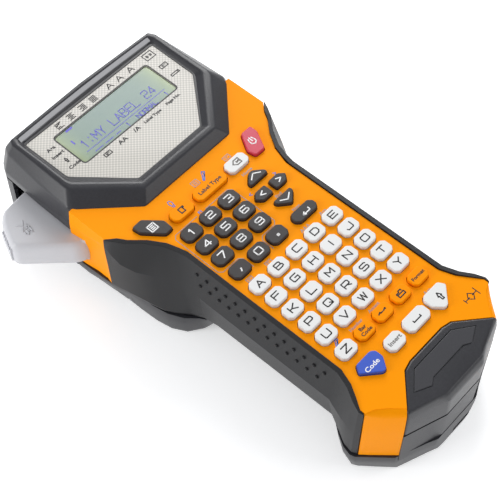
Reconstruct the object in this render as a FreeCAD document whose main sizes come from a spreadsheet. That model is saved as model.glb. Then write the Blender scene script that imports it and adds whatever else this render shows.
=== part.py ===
"""Handheld label maker: every piece is a solid of its own, sized from one spreadsheet.

Frame: +X to the right, +Y towards the display, +Z up. The origin is on the flat
underside of the tape door, which rests on the table, in the body's middle plane.
"""
import FreeCAD, Part
import os
import math

V = FreeCAD.Vector
doc = FreeCAD.newDocument("label_maker")

# ---------------------------------------------------------------- driving sizes
SIZES = [
    ("wall", 2.2, "moulded wall of every casing"),
    ("seam_gap", 0.15, "gap at a joint line between two casings"),
    ("door_gap", 0.30, "gap round a loose cover"),
    ("panel_z", 58.5, "top of the keypad panel"),
    ("rim_rise", 6.0, "display rim above the panel"),
    ("head_seam_z", 42.5, "joint line round the display head"),
    ("skirt_z", 18.0, "lower edge of the panel's side skirts and of the grips"),
    ("cap_seam_z", 38.0, "lower edge of the end cap"),
    ("handle_floor_z", 12.0, "underside of the handle"),
    ("handle_half", 35.4, "half width of the keypad panel along the handle"),
    ("handle_belly", 7.0, "how far a grip's ridge stands out past the panel"),
    ("head_half", 57.5, "half width of the head"),
    ("head_back_y", 60.0, "rear end of the head"),
    ("head_front_y", -54.0, "where the head's belly ends"),
    ("tail_front_y", -146.0, "where the tail starts to flare"),
    ("tail_back_y", -190.5, "end of the tail"),
    ("tail_half", 49.5, "half width of the tail flare"),
    ("keypad_y", -110.0, "centre row of the letter keys"),
    ("key_pitch_x", 13.0, "letter columns"),
    ("key_pitch_y", 10.0, "letter rows"),
    ("key_space_x", 2.6, "between two letter keys of a row"),
    ("key_space_y", 2.1, "between two rows of letter keys"),
    ("digit_wide", 10.8, "digit key"),
    ("digit_deep", 8.0, "digit key"),
    ("key_rise", 2.0, "key top above the panel"),
    ("key_top_rise", 0.8, "tapered part of a key top"),
    ("key_travel", 1.0, "how far a key goes down"),
    ("key_gap", 0.30, "gap between a key and its hole"),
    ("key_flange", 0.8, "retaining flange round a key, under the panel"),
    ("key_flange_high", 1.2, "height of that flange"),
    ("key_root", 2.4, "key below its flange's top"),
    ("mat_thick", 1.2, "silicone key mat"),
    ("board_thick", 1.6, "main circuit board"),
    ("lens_thick", 1.5, "display lens"),
    ("lens_drop", 2.5, "top of the lens below the rim's crest"),
    ("lens_gap", 0.20, "gap round the lens"),
    ("lens_ledge", 3.0, "ledge that the lens lies on"),
    ("window_wide", 64.0, "visible display"),
    ("window_deep", 22.7, "visible display"),
    ("window_y", 30.4, "centre of the visible display"),
    ("lcd_border", 2.0, "display module beyond its window"),
    ("lcd_thick", 4.5, "display module"),
    ("tape_door_wide", 86.0, "tape compartment cover"),
    ("tape_door_deep", 62.0, "tape compartment cover"),
    ("tape_door_y", 19.0, "centre of the tape compartment cover"),
    ("door_thick", 2.0, "both covers"),
    ("cassette_wide", 76.0, "tape cassette"),
    ("cassette_deep", 52.0, "tape cassette"),
    ("cassette_high", 26.0, "tape cassette"),
    ("cassette_x", 6.0, "centre of the tape cassette"),
    ("roll_radius", 21.0, "label roll in the cassette"),
    ("ribbon_radius", 9.0, "ribbon spool in the cassette"),
    ("spool_gap", 0.40, "gap round a spool"),
    ("chassis_z", 31.0, "underside of the mechanism plate"),
    ("chassis_thick", 1.5, "mechanism plate"),
    ("gear_z", 34.0, "underside of the gears"),
    ("gear_thick", 4.0, "gears"),
    ("pinion_radius", 3.5, "motor pinion, pitch radius"),
    ("idler_radius", 24.0, "large transfer gear, pitch radius"),
    ("platen_gear_radius", 6.0, "platen gear, pitch radius"),
    ("mesh_gap", 0.20, "between two gears' pitch cylinders"),
    ("platen_x", -40.5, "platen axis"),
    ("platen_y", 47.5, "platen axis"),
    ("platen_radius", 4.5, "platen rubber"),
    ("shaft_radius", 1.5, "gear shafts and the lever's pin"),
    ("shaft_gap", 0.05, "running fit on a shaft, radial"),
    ("motor_radius", 9.0, "feed motor"),
    ("cell_radius", 7.25, "AA cell"),
    ("cell_long", 50.5, "AA cell with its button"),
    ("cell_gap", 0.40, "between cells"),
    ("cell_layers", 2, "layers of cells"),
    ("cells_per_layer", 4, "cells side by side"),
    ("battery_y", -111.0, "centre of the battery compartment"),
    ("battery_door_wide", 60.0, "battery cover"),
    ("lever_low_z", 25.0, "underside of the cutter lever"),
    ("lever_high_z", 41.5, "top of the cutter lever"),
    ("lever_gap", 0.8, "gap round the lever in its bay"),
    ("lever_pivot_room", 1.9, "from the head's inner wall to the lever pin's axis"),
    ("lever_pivot_y", 0.5, "lever pin"),
    ("lever_boss", 4.2, "radius of the lever round its pin"),
    ("lever_round", 5.0, "rounding of the lever's front top edge"),
    ("bay_deep", 9.5, "how far the lever's bay reaches into the head"),
    ("blade_thick", 0.8, "cutter blade"),
    ("blade_room", 0.6, "from the head's inner wall to the cutter blade"),
    ("screw_head", 2.8, "case screw head radius"),
    ("screw_shank", 1.4, "case screw shank radius"),
    ("screw_gap", 0.25, "gap round a screw"),
    ("screw_long", 14.0, "case screw"),
    ("port_deep", 8.8, "data port, in from its mouth"),
    ("jack_half", 5.5, "half width of the power socket's block"),
    ("jack_long", 15.0, "power socket's block"),
    ("jack_turn", 157.7, "power socket's heading, degrees clockwise from the display's"),
    ("jack_bore", 2.8, "radius of the power jack's mouth"),
    ("jack_deep", 9.5, "depth of the power jack's mouth"),
]

sheet = doc.addObject("Spreadsheet::Sheet", "sizes")
for row_number, (alias, value, note) in enumerate(SIZES, start=1):
    sheet.set("A%d" % row_number, note)
    sheet.set("B%d" % row_number, str(value))
    sheet.setAlias("B%d" % row_number, alias)
doc.recompute()


def size(alias):
    """The value of one cell, as a plain number."""
    return float(sheet.get(alias))


def bind(feature, **formulas):
    """Tie properties of a feature to spreadsheet formulas."""
    for name, formula in formulas.items():
        feature.setExpression(name, formula)


wall = size("wall")
gap = size("seam_gap")
panel_z = size("panel_z")
rim_z = panel_z + size("rim_rise")
skirt_z = size("skirt_z")
seam_z = size("head_seam_z")
floor_z = size("handle_floor_z")
head_back = size("head_back_y")
head_front = size("head_front_y")
tail_front = size("tail_front_y")
tail_back = size("tail_back_y")
handle_half = size("handle_half")
head_half = size("head_half")
tail_half = size("tail_half")
ridge_half = handle_half + size("handle_belly")
lens_top = rim_z - size("lens_drop")
lens_low = lens_top - size("lens_thick")
lever_pivot = (wall + size("lever_pivot_room") - head_half, size("lever_pivot_y"))
shoulder_y = head_front + 36.0
neck_y = head_front + 12.0
flare_y = tail_front - 19.0

parts = []


def keep(feature, label):
    """Name a finished sub-part; its label is its file's name."""
    feature.Label = label
    parts.append(feature)
    return feature


# ---------------------------------------------------------------- solid helpers
def mirrored(right_side):
    """Close an outline given from front centre round the right side to the back."""
    left_side = [(-x, y) for x, y in reversed(right_side)]
    return right_side + left_side


def polygon_face(outline, z=0.0):
    points = [V(x, y, z) for x, y in outline]
    return Part.Face(Part.makePolygon(points + [points[0]]))


def prism(outline, low, high):
    """A straight block over a plan outline, between two heights."""
    return polygon_face(outline, low).extrude(V(0, 0, high - low))


def slab(x0, x1, y0, y1, z0, z1):
    return Part.makeBox(x1 - x0, y1 - y0, z1 - z0, V(x0, y0, z0))


def rod(x, y, z0, z1, radius):
    return Part.makeCylinder(radius, z1 - z0, V(x, y, z0))


def rounded(outline, radius):
    """A plan outline's wire with every corner rounded."""
    count = len(outline)
    edges = []
    starts = []
    ends = []
    for index in range(count):
        before = V(*outline[index - 1], 0)
        corner = V(*outline[index], 0)
        after = V(*outline[(index + 1) % count], 0)
        inward = (before - corner).normalize()
        outward = (after - corner).normalize()
        half = inward.getAngle(outward) / 2
        reach = radius / math.tan(half)
        starts.append(corner + inward * reach)
        ends.append(corner + outward * reach)
        middle = (inward + outward).normalize()
        centre = corner + middle * (radius / math.sin(half))
        edges.append((starts[-1], centre - middle * radius, ends[-1]))
    curve = []
    for index in range(count):
        curve.append(Part.Arc(*edges[index]).toShape())
        curve.append(Part.LineSegment(ends[index], starts[(index + 1) % count]).toShape())
    return Part.Wire(curve)


def rounded_prism(outline, radius, low, high):
    face = Part.Face(rounded(outline, radius))
    face.translate(V(0, 0, low))
    return face.extrude(V(0, 0, high - low))


def box_outline(x_centre, y_centre, wide, deep, grow=0.0):
    a = wide / 2 + grow
    b = deep / 2 + grow
    return [(x_centre - a, y_centre - b), (x_centre + a, y_centre - b),
            (x_centre + a, y_centre + b), (x_centre - a, y_centre + b)]


def shape_part(label, shape):
    """A sub-part whose faceted or curved casing is made with Part's own functions."""
    feature = doc.addObject("Part::Feature", label)
    feature.Shape = shape
    feature.Placement = FreeCAD.Placement()
    return keep(feature, label)


# ---------------------------------------------------------------- casing envelope
def stations():
    """Cross-sections from the head to the tail.

    Each is y, then half width and height of the panel edge, the ridge,
    the lower edge and the underside.
    """
    floor = floor_z
    half = head_half
    ridge = ridge_half
    edge = handle_half
    tail = tail_half
    return [
        (head_back, half - 7.0, panel_z, half - 4.0, 40.0, half - 5.5, 14.0, half - 14, 3.0),
        (head_back - 5, half - 5.5, panel_z, half - 1.0, 40.0, half - 2, 12.0, half - 9, 0.0),
        (20.0, half - 2.5, panel_z, half, 44.0, half - 0.5, 12.0, half - 6.0, 0.0),
        (0.0, half - 0.8, panel_z, half + 0.3, 50.0, half - 0.5, 12.0, half - 6.0, 0.0),
        (shoulder_y, half - 0.8, panel_z, half, 54.0, half - 1.5, 16.0, half - 7.0, 0.0),
        (head_front + 27, edge + 14.3, panel_z, half - 3.5, 44.0, half - 4.3, 16.0, half - 7.0, 0.0),
        (head_front + 21.5, edge + 10.2, panel_z, ridge + 9.1, 41.0, half - 5.0, 15.0, half - 7.0, 0.0),
        (neck_y, edge + 3.1, panel_z, ridge + 4.8, 41.3, ridge + 9.1, 14.0, ridge + 7.6, 0.0),
        (head_front + 3.5, edge + 0.5, panel_z, ridge + 0.8, 42.0, ridge + 7.6, 13.0, ridge + 6.0, 0.0),
        (head_front - 4, edge, panel_z, ridge + 0.3, 41.0, ridge + 4.2, 13.0, ridge + 2.2, 0.5),
        (head_front - 10, edge, panel_z, ridge + 0.1, 40.0, ridge - 1.0, 15.0, ridge - 3.5, floor - 8.0),
        (head_front - 14, edge, panel_z, ridge, 39.8, ridge - 3.0, 18.5, ridge - 7.0, floor - 2.0),
        (head_front - 20, edge, panel_z, ridge, 39.5, ridge - 3.5, 19.0, ridge - 7.5, floor),
        (tail_front, edge, panel_z, ridge, 40.0, ridge - 4.0, 18.0, ridge - 8.0, floor),
        (tail_front - 8, edge + 2.8, panel_z, tail - 4.2, 39.5, tail - 6.0, 15.0, tail - 10.0, 5.0),
        (tail_front - 14, edge + 6.4, panel_z, tail - 2.5, 39.0, tail - 2.3, 13.0, tail - 6.5, 0.0),
        (flare_y, tail - 4.1, panel_z, tail - 1.9, 38.0, tail - 1.3, 13.0, tail - 4.8, 0.0),
        (flare_y - 2.5, tail - 3.9, panel_z, tail - 3.1, 38.0, tail - 2.1, 13.0, tail - 6.1, 0.0),
        (tail_back + 9, tail - 16.1, panel_z, tail - 15.1, 38.0, tail - 14.1, 13.0, tail - 17.5, 0.0),
        (tail_back + 2.5, tail - 31.5, panel_z - 0.9, tail - 30.5, 38.0, tail - 30.0, 13.0, tail - 35.0, 0.0),
        (tail_back, tail - 34.5, panel_z - 3.0, tail - 33.5, 38.0, tail - 33.5, 13.0, tail - 38.0, 1.5),
    ]


def envelope(inset=0.0):
    """The whole casing as one faceted block, or the space inside its walls."""
    wires = []
    rows = stations()
    for index, (y, xa, za, xb, zb, xc, zc, xd, zd) in enumerate(rows):
        if index == 0:
            y -= inset
        if index == len(rows) - 1:
            y += inset
        right = [(xd - inset, zd + inset), (xc - inset, zc), (xb - inset, zb), (xa - inset, za - inset)]
        points = [V(x, y, z) for x, z in right] + [V(-x, y, z) for x, z in reversed(right)]
        wires.append(Part.makePolygon(points + [points[0]]))
    return Part.makeLoft(wires, True, True)


outer = envelope()
inner = envelope(wall)
skin = outer.cut(inner)
FAR = 400.0


def halfspace(x0=-FAR, x1=FAR, y0=-FAR, y1=FAR, z0=-FAR, z1=FAR):
    return slab(x0, x1, y0, y1, z0, z1)


def grip_plan(side, grow=0.0):
    """Everything beyond the panel's edge beside the handle, on one side."""
    edge = [(head_half + 20, shoulder_y + grow), (head_half - 0.5, shoulder_y + grow),
            (handle_half + 17 - grow, shoulder_y - 4.5), (handle_half + 14.3 - grow, shoulder_y - 9),
            (handle_half + 3.1 - grow, neck_y), (handle_half + 1.1 - grow, neck_y - 6.5),
            (handle_half - grow, neck_y - 10), (handle_half - grow, tail_front),
            (handle_half + 2.8 - grow, tail_front - 8), (tail_half - 4.1 - grow, flare_y),
            (tail_half - 4.0 - grow, flare_y - 2.0 - grow), (head_half + 20, flare_y - 2.0 - grow)]
    return [(side * x, y) for x, y in edge]


def cap_plan(grow=0.0):
    """The end cap seen from above."""
    return mirrored([(tail_half + 20, tail_back - 20), (tail_half + 20, tail_back + 1.5 + grow),
                     (tail_half - 14, tail_back + 6.5 + grow), (tail_half - 18, tail_back + 11.0 + grow),
                     (17.0, flare_y - 2.0 + grow), (11.5, flare_y - 0.7 + grow)])


def rim_base():
    """Foot of the display rim on the panel."""
    return mirrored([(30.0, shoulder_y - 1.5), (head_half - 4.0, 4.0), (head_half - 2.5, 12.0),
                     (head_half - 2.5, 30.0), (head_half - 5.8, head_back - 2.5)])


def rim_crest():
    """Crest of the display rim."""
    return mirrored([(24.5, shoulder_y + 4.0), (head_half - 7.5, 13.0), (head_half - 7.5, 20.0),
                     (head_half - 7.5, 34.0), (head_half - 8.5, head_back - 6.0)])


def lens_plan(grow=0.0):
    return mirrored([(21.8 + grow * 0.4, shoulder_y + 11.0 - grow), (44.3 + grow, 19.4),
                     (44.7 + grow, 49.0 + grow)])


def bay_plan():
    """Opening in the left side for the cutter lever and the label's exit."""
    side = size("bay_deep") - head_half
    return [(-FAR, -6.5), (side, -6.5), (side, 50.0), (-FAR, 50.0)]


bay = prism(bay_plan(), size("lever_low_z") - size("lever_gap"), seam_z)


# ---------------------------------------------------------------- keys
def cut_corner(wide, deep, cut):
    a = wide / 2
    b = deep / 2
    return [(a - cut, -b), (a, -b + cut), (a, b - cut), (a - cut, b),
            (cut - a, b), (-a, b - cut), (-a, cut - b), (cut - a, -b)]


def grown(outline, amount):
    """An outline moved outwards by a margin."""
    wire = Part.makePolygon([V(x, y, 0) for x, y in outline + [outline[0]]])
    bigger = wire.makeOffset2D(amount, 2)
    return [(v.X, v.Y) for v in bigger.OrderedVertexes]


keypad_y = size("keypad_y")
pitch_x = size("key_pitch_x")
pitch_y = size("key_pitch_y")
letter_wide = pitch_x - size("key_space_x")
letter_deep = pitch_y - size("key_space_y")
letter = cut_corner(letter_wide, letter_deep, 2.2)
digit = cut_corner(size("digit_wide"), size("digit_deep"), 1.8)
slim = cut_corner(letter_wide, letter_deep - 0.6, 1.8)
digit_x = -2.05 * pitch_x
digit_pitch = pitch_x + 0.05
digit_rows = [keypad_y + step for step in (63.2, 53.3, 43.3, 32.4)]
top_row = keypad_y + 75.3
low_row = keypad_y - 3 * pitch_y - 1.5
last_row = low_row - 13.5
first_x = -2 * pitch_x - 0.6

# label, outline, x and y of the first key, number of keys, pitch
KEYS = [("keys_%d" % (row + 1), letter, first_x, keypad_y + (2 - row) * pitch_y, 5, pitch_x)
        for row in range(5)]
KEYS += [("digits_%d" % (row + 1), digit, digit_x, digit_rows[row], 3, digit_pitch) for row in range(4)]
KEYS += [
    ("key_z", letter, first_x, low_row, 1, 0),
    ("key_bar_code", slim, first_x + pitch_x, low_row, 1, 0),
    ("key_symbols", slim, first_x + 2 * pitch_x, low_row, 1, 0),
    ("key_file", slim, first_x + 3 * pitch_x, low_row, 1, 0),
    ("key_format", slim, first_x + 4 * pitch_x, low_row, 1, 0),
    ("key_feed", cut_corner(13.6, 7.4, 2.0), -20.8, top_row, 1, 0),
    ("key_tape", cut_corner(20.6, 7.4, 2.0), -1.0, top_row, 1, 0),
    ("key_delete", cut_corner(13.4, 7.4, 1.8), 18.0, top_row, 1, 0),
    ("key_print", [(-6.7, 7.2), (-6.2, 2.2), (1.6, -7.4), (6.4, -7.2), (6.7, -1.2), (-0.6, 7.4)],
     -37.2, keypad_y + 78.6, 1, 0),
    ("key_power", [(6.2, 7.2), (6.2, 2.4), (0.9, -7.4), (-5.4, -7.2), (-6.3, -2.2), (-0.6, 7.2)],
     33.4, keypad_y + 78.4, 1, 0),
    ("key_up", [(-6.0, -3.2), (6.0, -3.2), (6.0, -1.0), (1.2, 3.2), (-1.2, 3.2), (-6.0, -1.0)],
     18.2, keypad_y + 63.3, 1, 0),
    ("key_down", [(-6.0, 3.4), (-6.0, 1.2), (-0.6, -3.4), (0.6, -3.4), (6.0, 1.2), (6.0, 3.4)],
     18.2, keypad_y + 42.6, 1, 0),
    ("key_left", [(-4.8, -0.2), (-4.8, 0.4), (-2.2, 3.1), (4.6, 3.1), (4.6, -3.1), (-2.2, -3.1)],
     12.3, keypad_y + 53.0, 1, 0),
    ("key_right", [(4.8, -0.2), (4.8, 0.4), (2.2, 3.1), (-4.6, 3.1), (-4.6, -3.1), (2.2, -3.1)],
     24.3, keypad_y + 53.0, 1, 0),
    ("key_enter", cut_corner(15.4, 6.6, 2.0), 18.1, keypad_y + 31.6, 1, 0),
    ("key_code", [(-7.2, 0.3), (-4.6, 4.2), (5.0, 4.2), (7.0, 2.4), (7.0, -1.8), (2.4, -7.0), (1.4, -7.0)],
     -25.2, last_row + 0.8, 1, 0),
    ("key_insert", cut_corner(10.6, 7.8, 2.0), -8.8, last_row, 1, 0),
    ("key_space", cut_corner(15.0, 8.0, 2.0), 6.8, last_row, 1, 0),
    ("key_shift",
     [(7.2, 0.6), (5.2, 4.2), (-5.2, 4.2), (-7.0, 2.4), (-7.0, -2.4), (-2.4, -7.0), (-1.4, -7.0)],
     23.3, last_row + 0.6, 1, 0),
]


def plane_of(body, role):
    for feature in body.Origin.OriginFeatures:
        if feature.Role == role:
            return feature
    raise RuntimeError("no plane " + role)


def closed_sketch(body, name, outline, height):
    """A closed outline on the body's XY plane, raised by a spreadsheet formula."""
    sketch = body.newObject("Sketcher::SketchObject", name)
    sketch.AttachmentSupport = [(plane_of(body, "XY_Plane"), "")]
    sketch.MapMode = "FlatFace"
    bind(sketch, **{"AttachmentOffset.Base.z": height})
    count = len(outline)
    for index in range(count):
        start = V(*outline[index], 0)
        end = V(*outline[(index + 1) % count], 0)
        sketch.addGeometry(Part.LineSegment(start, end), False)
    return sketch


def pad(body, sketch, name, length):
    feature = body.newObject("PartDesign::Pad", name)
    feature.Profile = sketch
    bind(feature, Length=length)
    sketch.Visibility = False
    return feature


def key_row(label, outline, x, y, count, pitch):
    """A key with its flange and tapered top, repeated along its row."""
    body = doc.addObject("PartDesign::Body", label)
    body.AllowCompound = True
    body.Placement = FreeCAD.Placement(V(x, y, 0), FreeCAD.Rotation())
    root = "sizes.panel_z - sizes.wall - sizes.key_root"
    stem = closed_sketch(body, label + "_stem", outline, root)
    stem_pad = pad(body, stem, label + "_stem_pad",
                   "sizes.key_root + sizes.wall + sizes.key_rise - sizes.key_top_rise")
    rim = closed_sketch(body, label + "_rim", grown(outline, size("key_flange")),
                        "sizes.panel_z - sizes.wall - sizes.key_gap - sizes.key_flange_high")
    rim_pad = pad(body, rim, label + "_rim_pad", "sizes.key_flange_high")
    crown = closed_sketch(body, label + "_crown", outline,
                          "sizes.panel_z + sizes.key_rise - sizes.key_top_rise")
    crown_pad = pad(body, crown, label + "_crown_pad", "sizes.key_top_rise")
    crown_pad.TaperAngle = -35.0
    body.Tip = crown_pad
    if count > 1:
        doc.recompute()
        pattern = body.newObject("PartDesign::LinearPattern", label + "_row")
        pattern.Originals = [stem_pad, rim_pad, crown_pad]
        pattern.Direction = (stem, ["H_Axis"])
        pattern.Length = pitch * (count - 1)
        pattern.Occurrences = count
        body.Tip = pattern
    return keep(body, label)


def key_holes(grow):
    """Holes for every key, or the same outlines with another margin."""
    holes = []
    for label, outline, x, y, count, pitch in KEYS:
        for index in range(count):
            centre_x = x + index * pitch
            points = [(centre_x + px, y + py) for px, py in grown(outline, grow)]
            holes.append(prism(points, panel_z - wall - 1.0, panel_z + 1.0))
    return holes


# ---------------------------------------------------------------- casings
def screw_places():
    return [(side * x, y) for side in (1, -1)
            for x, y in ((handle_half + 3.0, flare_y), (head_half - 9.0, shoulder_y - 6.0))]


def front_shell():
    """Keypad panel with its shoulder skirts and the two bands down the tail's corners."""
    body = skin.common(halfspace(y1=6.0, z0=skirt_z))
    body = body.cut(prism(cap_plan(gap), 0, FAR))
    for side in (1, -1):
        body = body.cut(prism(grip_plan(side, gap), 0, FAR))
    opening = prism([(x * 0.93, y * 0.9 if y > 0 else y + 3.0) for x, y in rim_base()], seam_z, FAR)
    body = body.cut(opening)
    body = body.cut(bay)
    body = body.cut(key_holes(size("key_gap")))
    return shape_part("front_shell", body)


def head_bezel():
    """Hood round the display: raised rim on top, walls down to the joint line behind."""
    rim = Part.makeLoft([polygon_face(rim_base(), panel_z).OuterWire,
                         polygon_face(rim_crest(), rim_z).OuterWire], True, True)
    walls = skin.common(halfspace(y0=6.0 + gap, z0=seam_z + gap, z1=panel_z))
    pocket = prism(lens_plan(size("lens_gap")), lens_low, FAR)
    window = prism(lens_plan(-size("lens_ledge")), 0, FAR)
    body = walls.fuse(rim).cut(pocket).cut(window)
    return shape_part("head_bezel", body)


def display_lens():
    return shape_part("display_lens", prism(lens_plan(), lens_low, lens_top))


def grips():
    """Side grips: the skin beyond the panel's edge."""
    for side, label in ((1, "right_grip"), (-1, "left_grip")):
        body = skin.common(prism(grip_plan(side), skirt_z + gap, FAR))
        shape_part(label, body)


def end_cap():
    body = skin.common(prism(cap_plan(), size("cap_seam_z") + gap, FAR))
    badge = prism(badge_plan(size("lens_gap")), panel_z - 1.0, FAR)
    return shape_part("end_cap", body.cut(badge))


def badge_plan(grow=0.0):
    """A flat arched inlay."""
    return mirrored([(10.8, flare_y - 13.6 - grow), (14.6, flare_y - 15.8 - grow),
                     (22.6 + grow, flare_y - 12.0), (13.3, flare_y - 5.0 + grow)])


def badge_plate():
    return shape_part("badge_plate", prism(badge_plan(), panel_z - 1.0, panel_z - 0.1))


def tape_door_plan(grow=0.0):
    return box_outline(0, size("tape_door_y"), size("tape_door_wide"), size("tape_door_deep"), grow)


def battery_length():
    step = 2 * size("cell_radius") + size("cell_gap")
    return size("cells_per_layer") * step


def battery_door_plan(grow=0.0):
    return box_outline(0, size("battery_y"), size("battery_door_wide"), battery_length() + 3.0, grow)


def rear_shell():
    """Lower casing: head walls, belly, handle floor and tail, with its screw posts."""
    lower = halfspace(y1=6.0, z1=skirt_z - gap)
    head = halfspace(y0=6.0, z1=seam_z)
    tail = prism(cap_plan(), 0, size("cap_seam_z"))
    body = skin.common(lower).fuse(skin.common(head)).fuse(skin.common(tail))
    for x, y in screw_places():
        post = rod(x, y, 0, skirt_z - gap, size("screw_head") + 1.6).common(outer)
        body = body.fuse(post)
    pin_post = rod(*lever_pivot, 0, skirt_z - gap, 2 * size("shaft_radius"))
    body = body.fuse(pin_post.common(outer))
    body = body.cut(rounded_prism(tape_door_plan(size("door_gap")), 4.0, -1.0, wall + 1))
    body = body.cut(rounded_prism(battery_door_plan(size("door_gap")), 3.0, floor_z - 1, floor_z + wall + 1))
    body = body.cut(bay)
    for x, y in screw_places():
        body = body.cut(rod(x, y, -1.0, 5.0, size("screw_head") + size("screw_gap")))
        body = body.cut(rod(x, y, 0, skirt_z, size("screw_shank") + size("screw_gap")))
    body = body.cut(jack_opening())
    return shape_part("rear_shell", body.removeSplitter())


def doors():
    shape_part("tape_door", rounded_prism(tape_door_plan(), 4.0, 0, size("door_thick")))
    shape_part("battery_door",
               rounded_prism(battery_door_plan(), 3.0, floor_z, floor_z + size("door_thick")))


def case_screws():
    pieces = []
    for x, y in screw_places():
        head = rod(x, y, 3.0, 5.0, size("screw_head"))
        shank = rod(x, y, 5.0, 3.0 + size("screw_long"), size("screw_shank"))
        slot = slab(x - 2.0, x + 2.0, y - 0.4, y + 0.4, 2.0, 4.0)
        cross = slab(x - 0.4, x + 0.4, y - 2.0, y + 2.0, 2.0, 4.0)
        pieces.append(head.fuse(shank).cut(slot).cut(cross))
    return shape_part("case_screws", Part.Compound(pieces))


# ---------------------------------------------------------------- cutter
def lever_plan():
    """The lever seen from above, given from the head's left side outwards."""
    out_and_along = [(0.0, 44.0), (14.5, 42.5), (20.0, 36.0), (26.5, 21.5), (4.5, -1.5), (-0.5, -3.6)]
    return [(-head_half - out, along) for out, along in out_and_along]


def cutter_lever():
    """Push lever on an upright pin; its top edge slopes off towards the front."""
    low = size("lever_low_z")
    high = size("lever_high_z")
    outline = lever_plan()
    body = prism(outline, low, high)
    front = (V(*outline[3], high) + V(*outline[4], high)) / 2
    edge = min(body.Edges, key=lambda e: e.CenterOfMass.distanceToPoint(front))
    body = body.makeFillet(size("lever_round"), [edge])
    body = body.fuse(rod(*lever_pivot, low, high - size("lever_round"), size("lever_boss")))
    body = body.cut(rod(*lever_pivot, 0, FAR, size("shaft_radius") + size("shaft_gap")))
    return shape_part("cutter_lever", body)


def cutter_parts():
    """Lever pin, the blade that slides forward and the fixed blade beside its path."""
    shape_part("lever_pin", rod(*lever_pivot, skirt_z - gap, seam_z - 0.2, size("shaft_radius")))
    low = 14.0
    x0 = 2 * wall + size("blade_room") - head_half
    x1 = x0 + size("blade_thick")
    shape_part("cutter_blade", slab(x0, x1, 51.2, 54.4, low, 30.0))
    shape_part("fixed_blade", slab(x1 + 0.1, x1 + 2.1, 45.0, 50.4, low, 24.0))


# ---------------------------------------------------------------- tape mechanism
roll_place = (size("cassette_x") + 14.0, size("tape_door_y") - 1.0)
ribbon_place = (size("cassette_x") - 22.0, size("tape_door_y") - 10.0)
platen = (size("platen_x"), size("platen_y"))


def box_part(label, x, y, z, wide, deep, high):
    """A plain block: every size and its corner are spreadsheet formulas."""
    feature = doc.addObject("Part::Box", label)
    bind(feature, Length=wide, Width=deep, Height=high)
    bind(feature, **{"Placement.Base.x": x, "Placement.Base.y": y, "Placement.Base.z": z})
    return feature


def rod_part(label, x, y, z, radius, high):
    """A plain upright cylinder, tied to spreadsheet formulas."""
    feature = doc.addObject("Part::Cylinder", label)
    bind(feature, Radius=radius, Height=high)
    bind(feature, **{"Placement.Base.x": x, "Placement.Base.y": y, "Placement.Base.z": z})
    return feature


def cut_part(label, base, tool):
    feature = doc.addObject("Part::Cut", label)
    feature.Base = base
    feature.Tool = tool
    return feature


def tape_cassette():
    """Cassette with a well for the label roll and one for the ribbon."""
    base_z = "sizes.door_thick + 1"
    block = box_part("cassette_block", "sizes.cassette_x - sizes.cassette_wide / 2",
                     "sizes.tape_door_y - sizes.cassette_deep / 2", base_z,
                     "sizes.cassette_wide", "sizes.cassette_deep", "sizes.cassette_high")
    roll_well = rod_part("roll_well", str(roll_place[0]), str(roll_place[1]), base_z + " + 2",
                         "sizes.roll_radius + sizes.spool_gap", "sizes.cassette_high")
    ribbon_well = rod_part("ribbon_well", str(ribbon_place[0]), str(ribbon_place[1]), base_z + " + 2",
                           "sizes.ribbon_radius + sizes.spool_gap", "sizes.cassette_high")
    keep(cut_part("cassette", cut_part("cassette_first_cut", block, roll_well), ribbon_well), "tape_cassette")
    keep(rod_part("roll", str(roll_place[0]), str(roll_place[1]), base_z + " + 2.3",
                  "sizes.roll_radius", "sizes.cassette_high - 3"), "label_roll")
    keep(rod_part("ribbon", str(ribbon_place[0]), str(ribbon_place[1]), base_z + " + 2.3",
                  "sizes.ribbon_radius", "sizes.cassette_high - 3"), "ribbon_spool")


def idler_place():
    """The transfer gear meshes with the platen's gear; its centre is to the right of it."""
    reach = size("platen_gear_radius") + size("idler_radius") + size("mesh_gap")
    angle = math.radians(-38.0)
    return (platen[0] + reach * math.cos(angle), platen[1] + reach * math.sin(angle))


def pinion_place():
    reach = size("pinion_radius") + size("idler_radius") + size("mesh_gap")
    angle = math.radians(20.0)
    centre = idler_place()
    return (centre[0] + reach * math.cos(angle), centre[1] + reach * math.sin(angle))


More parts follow.
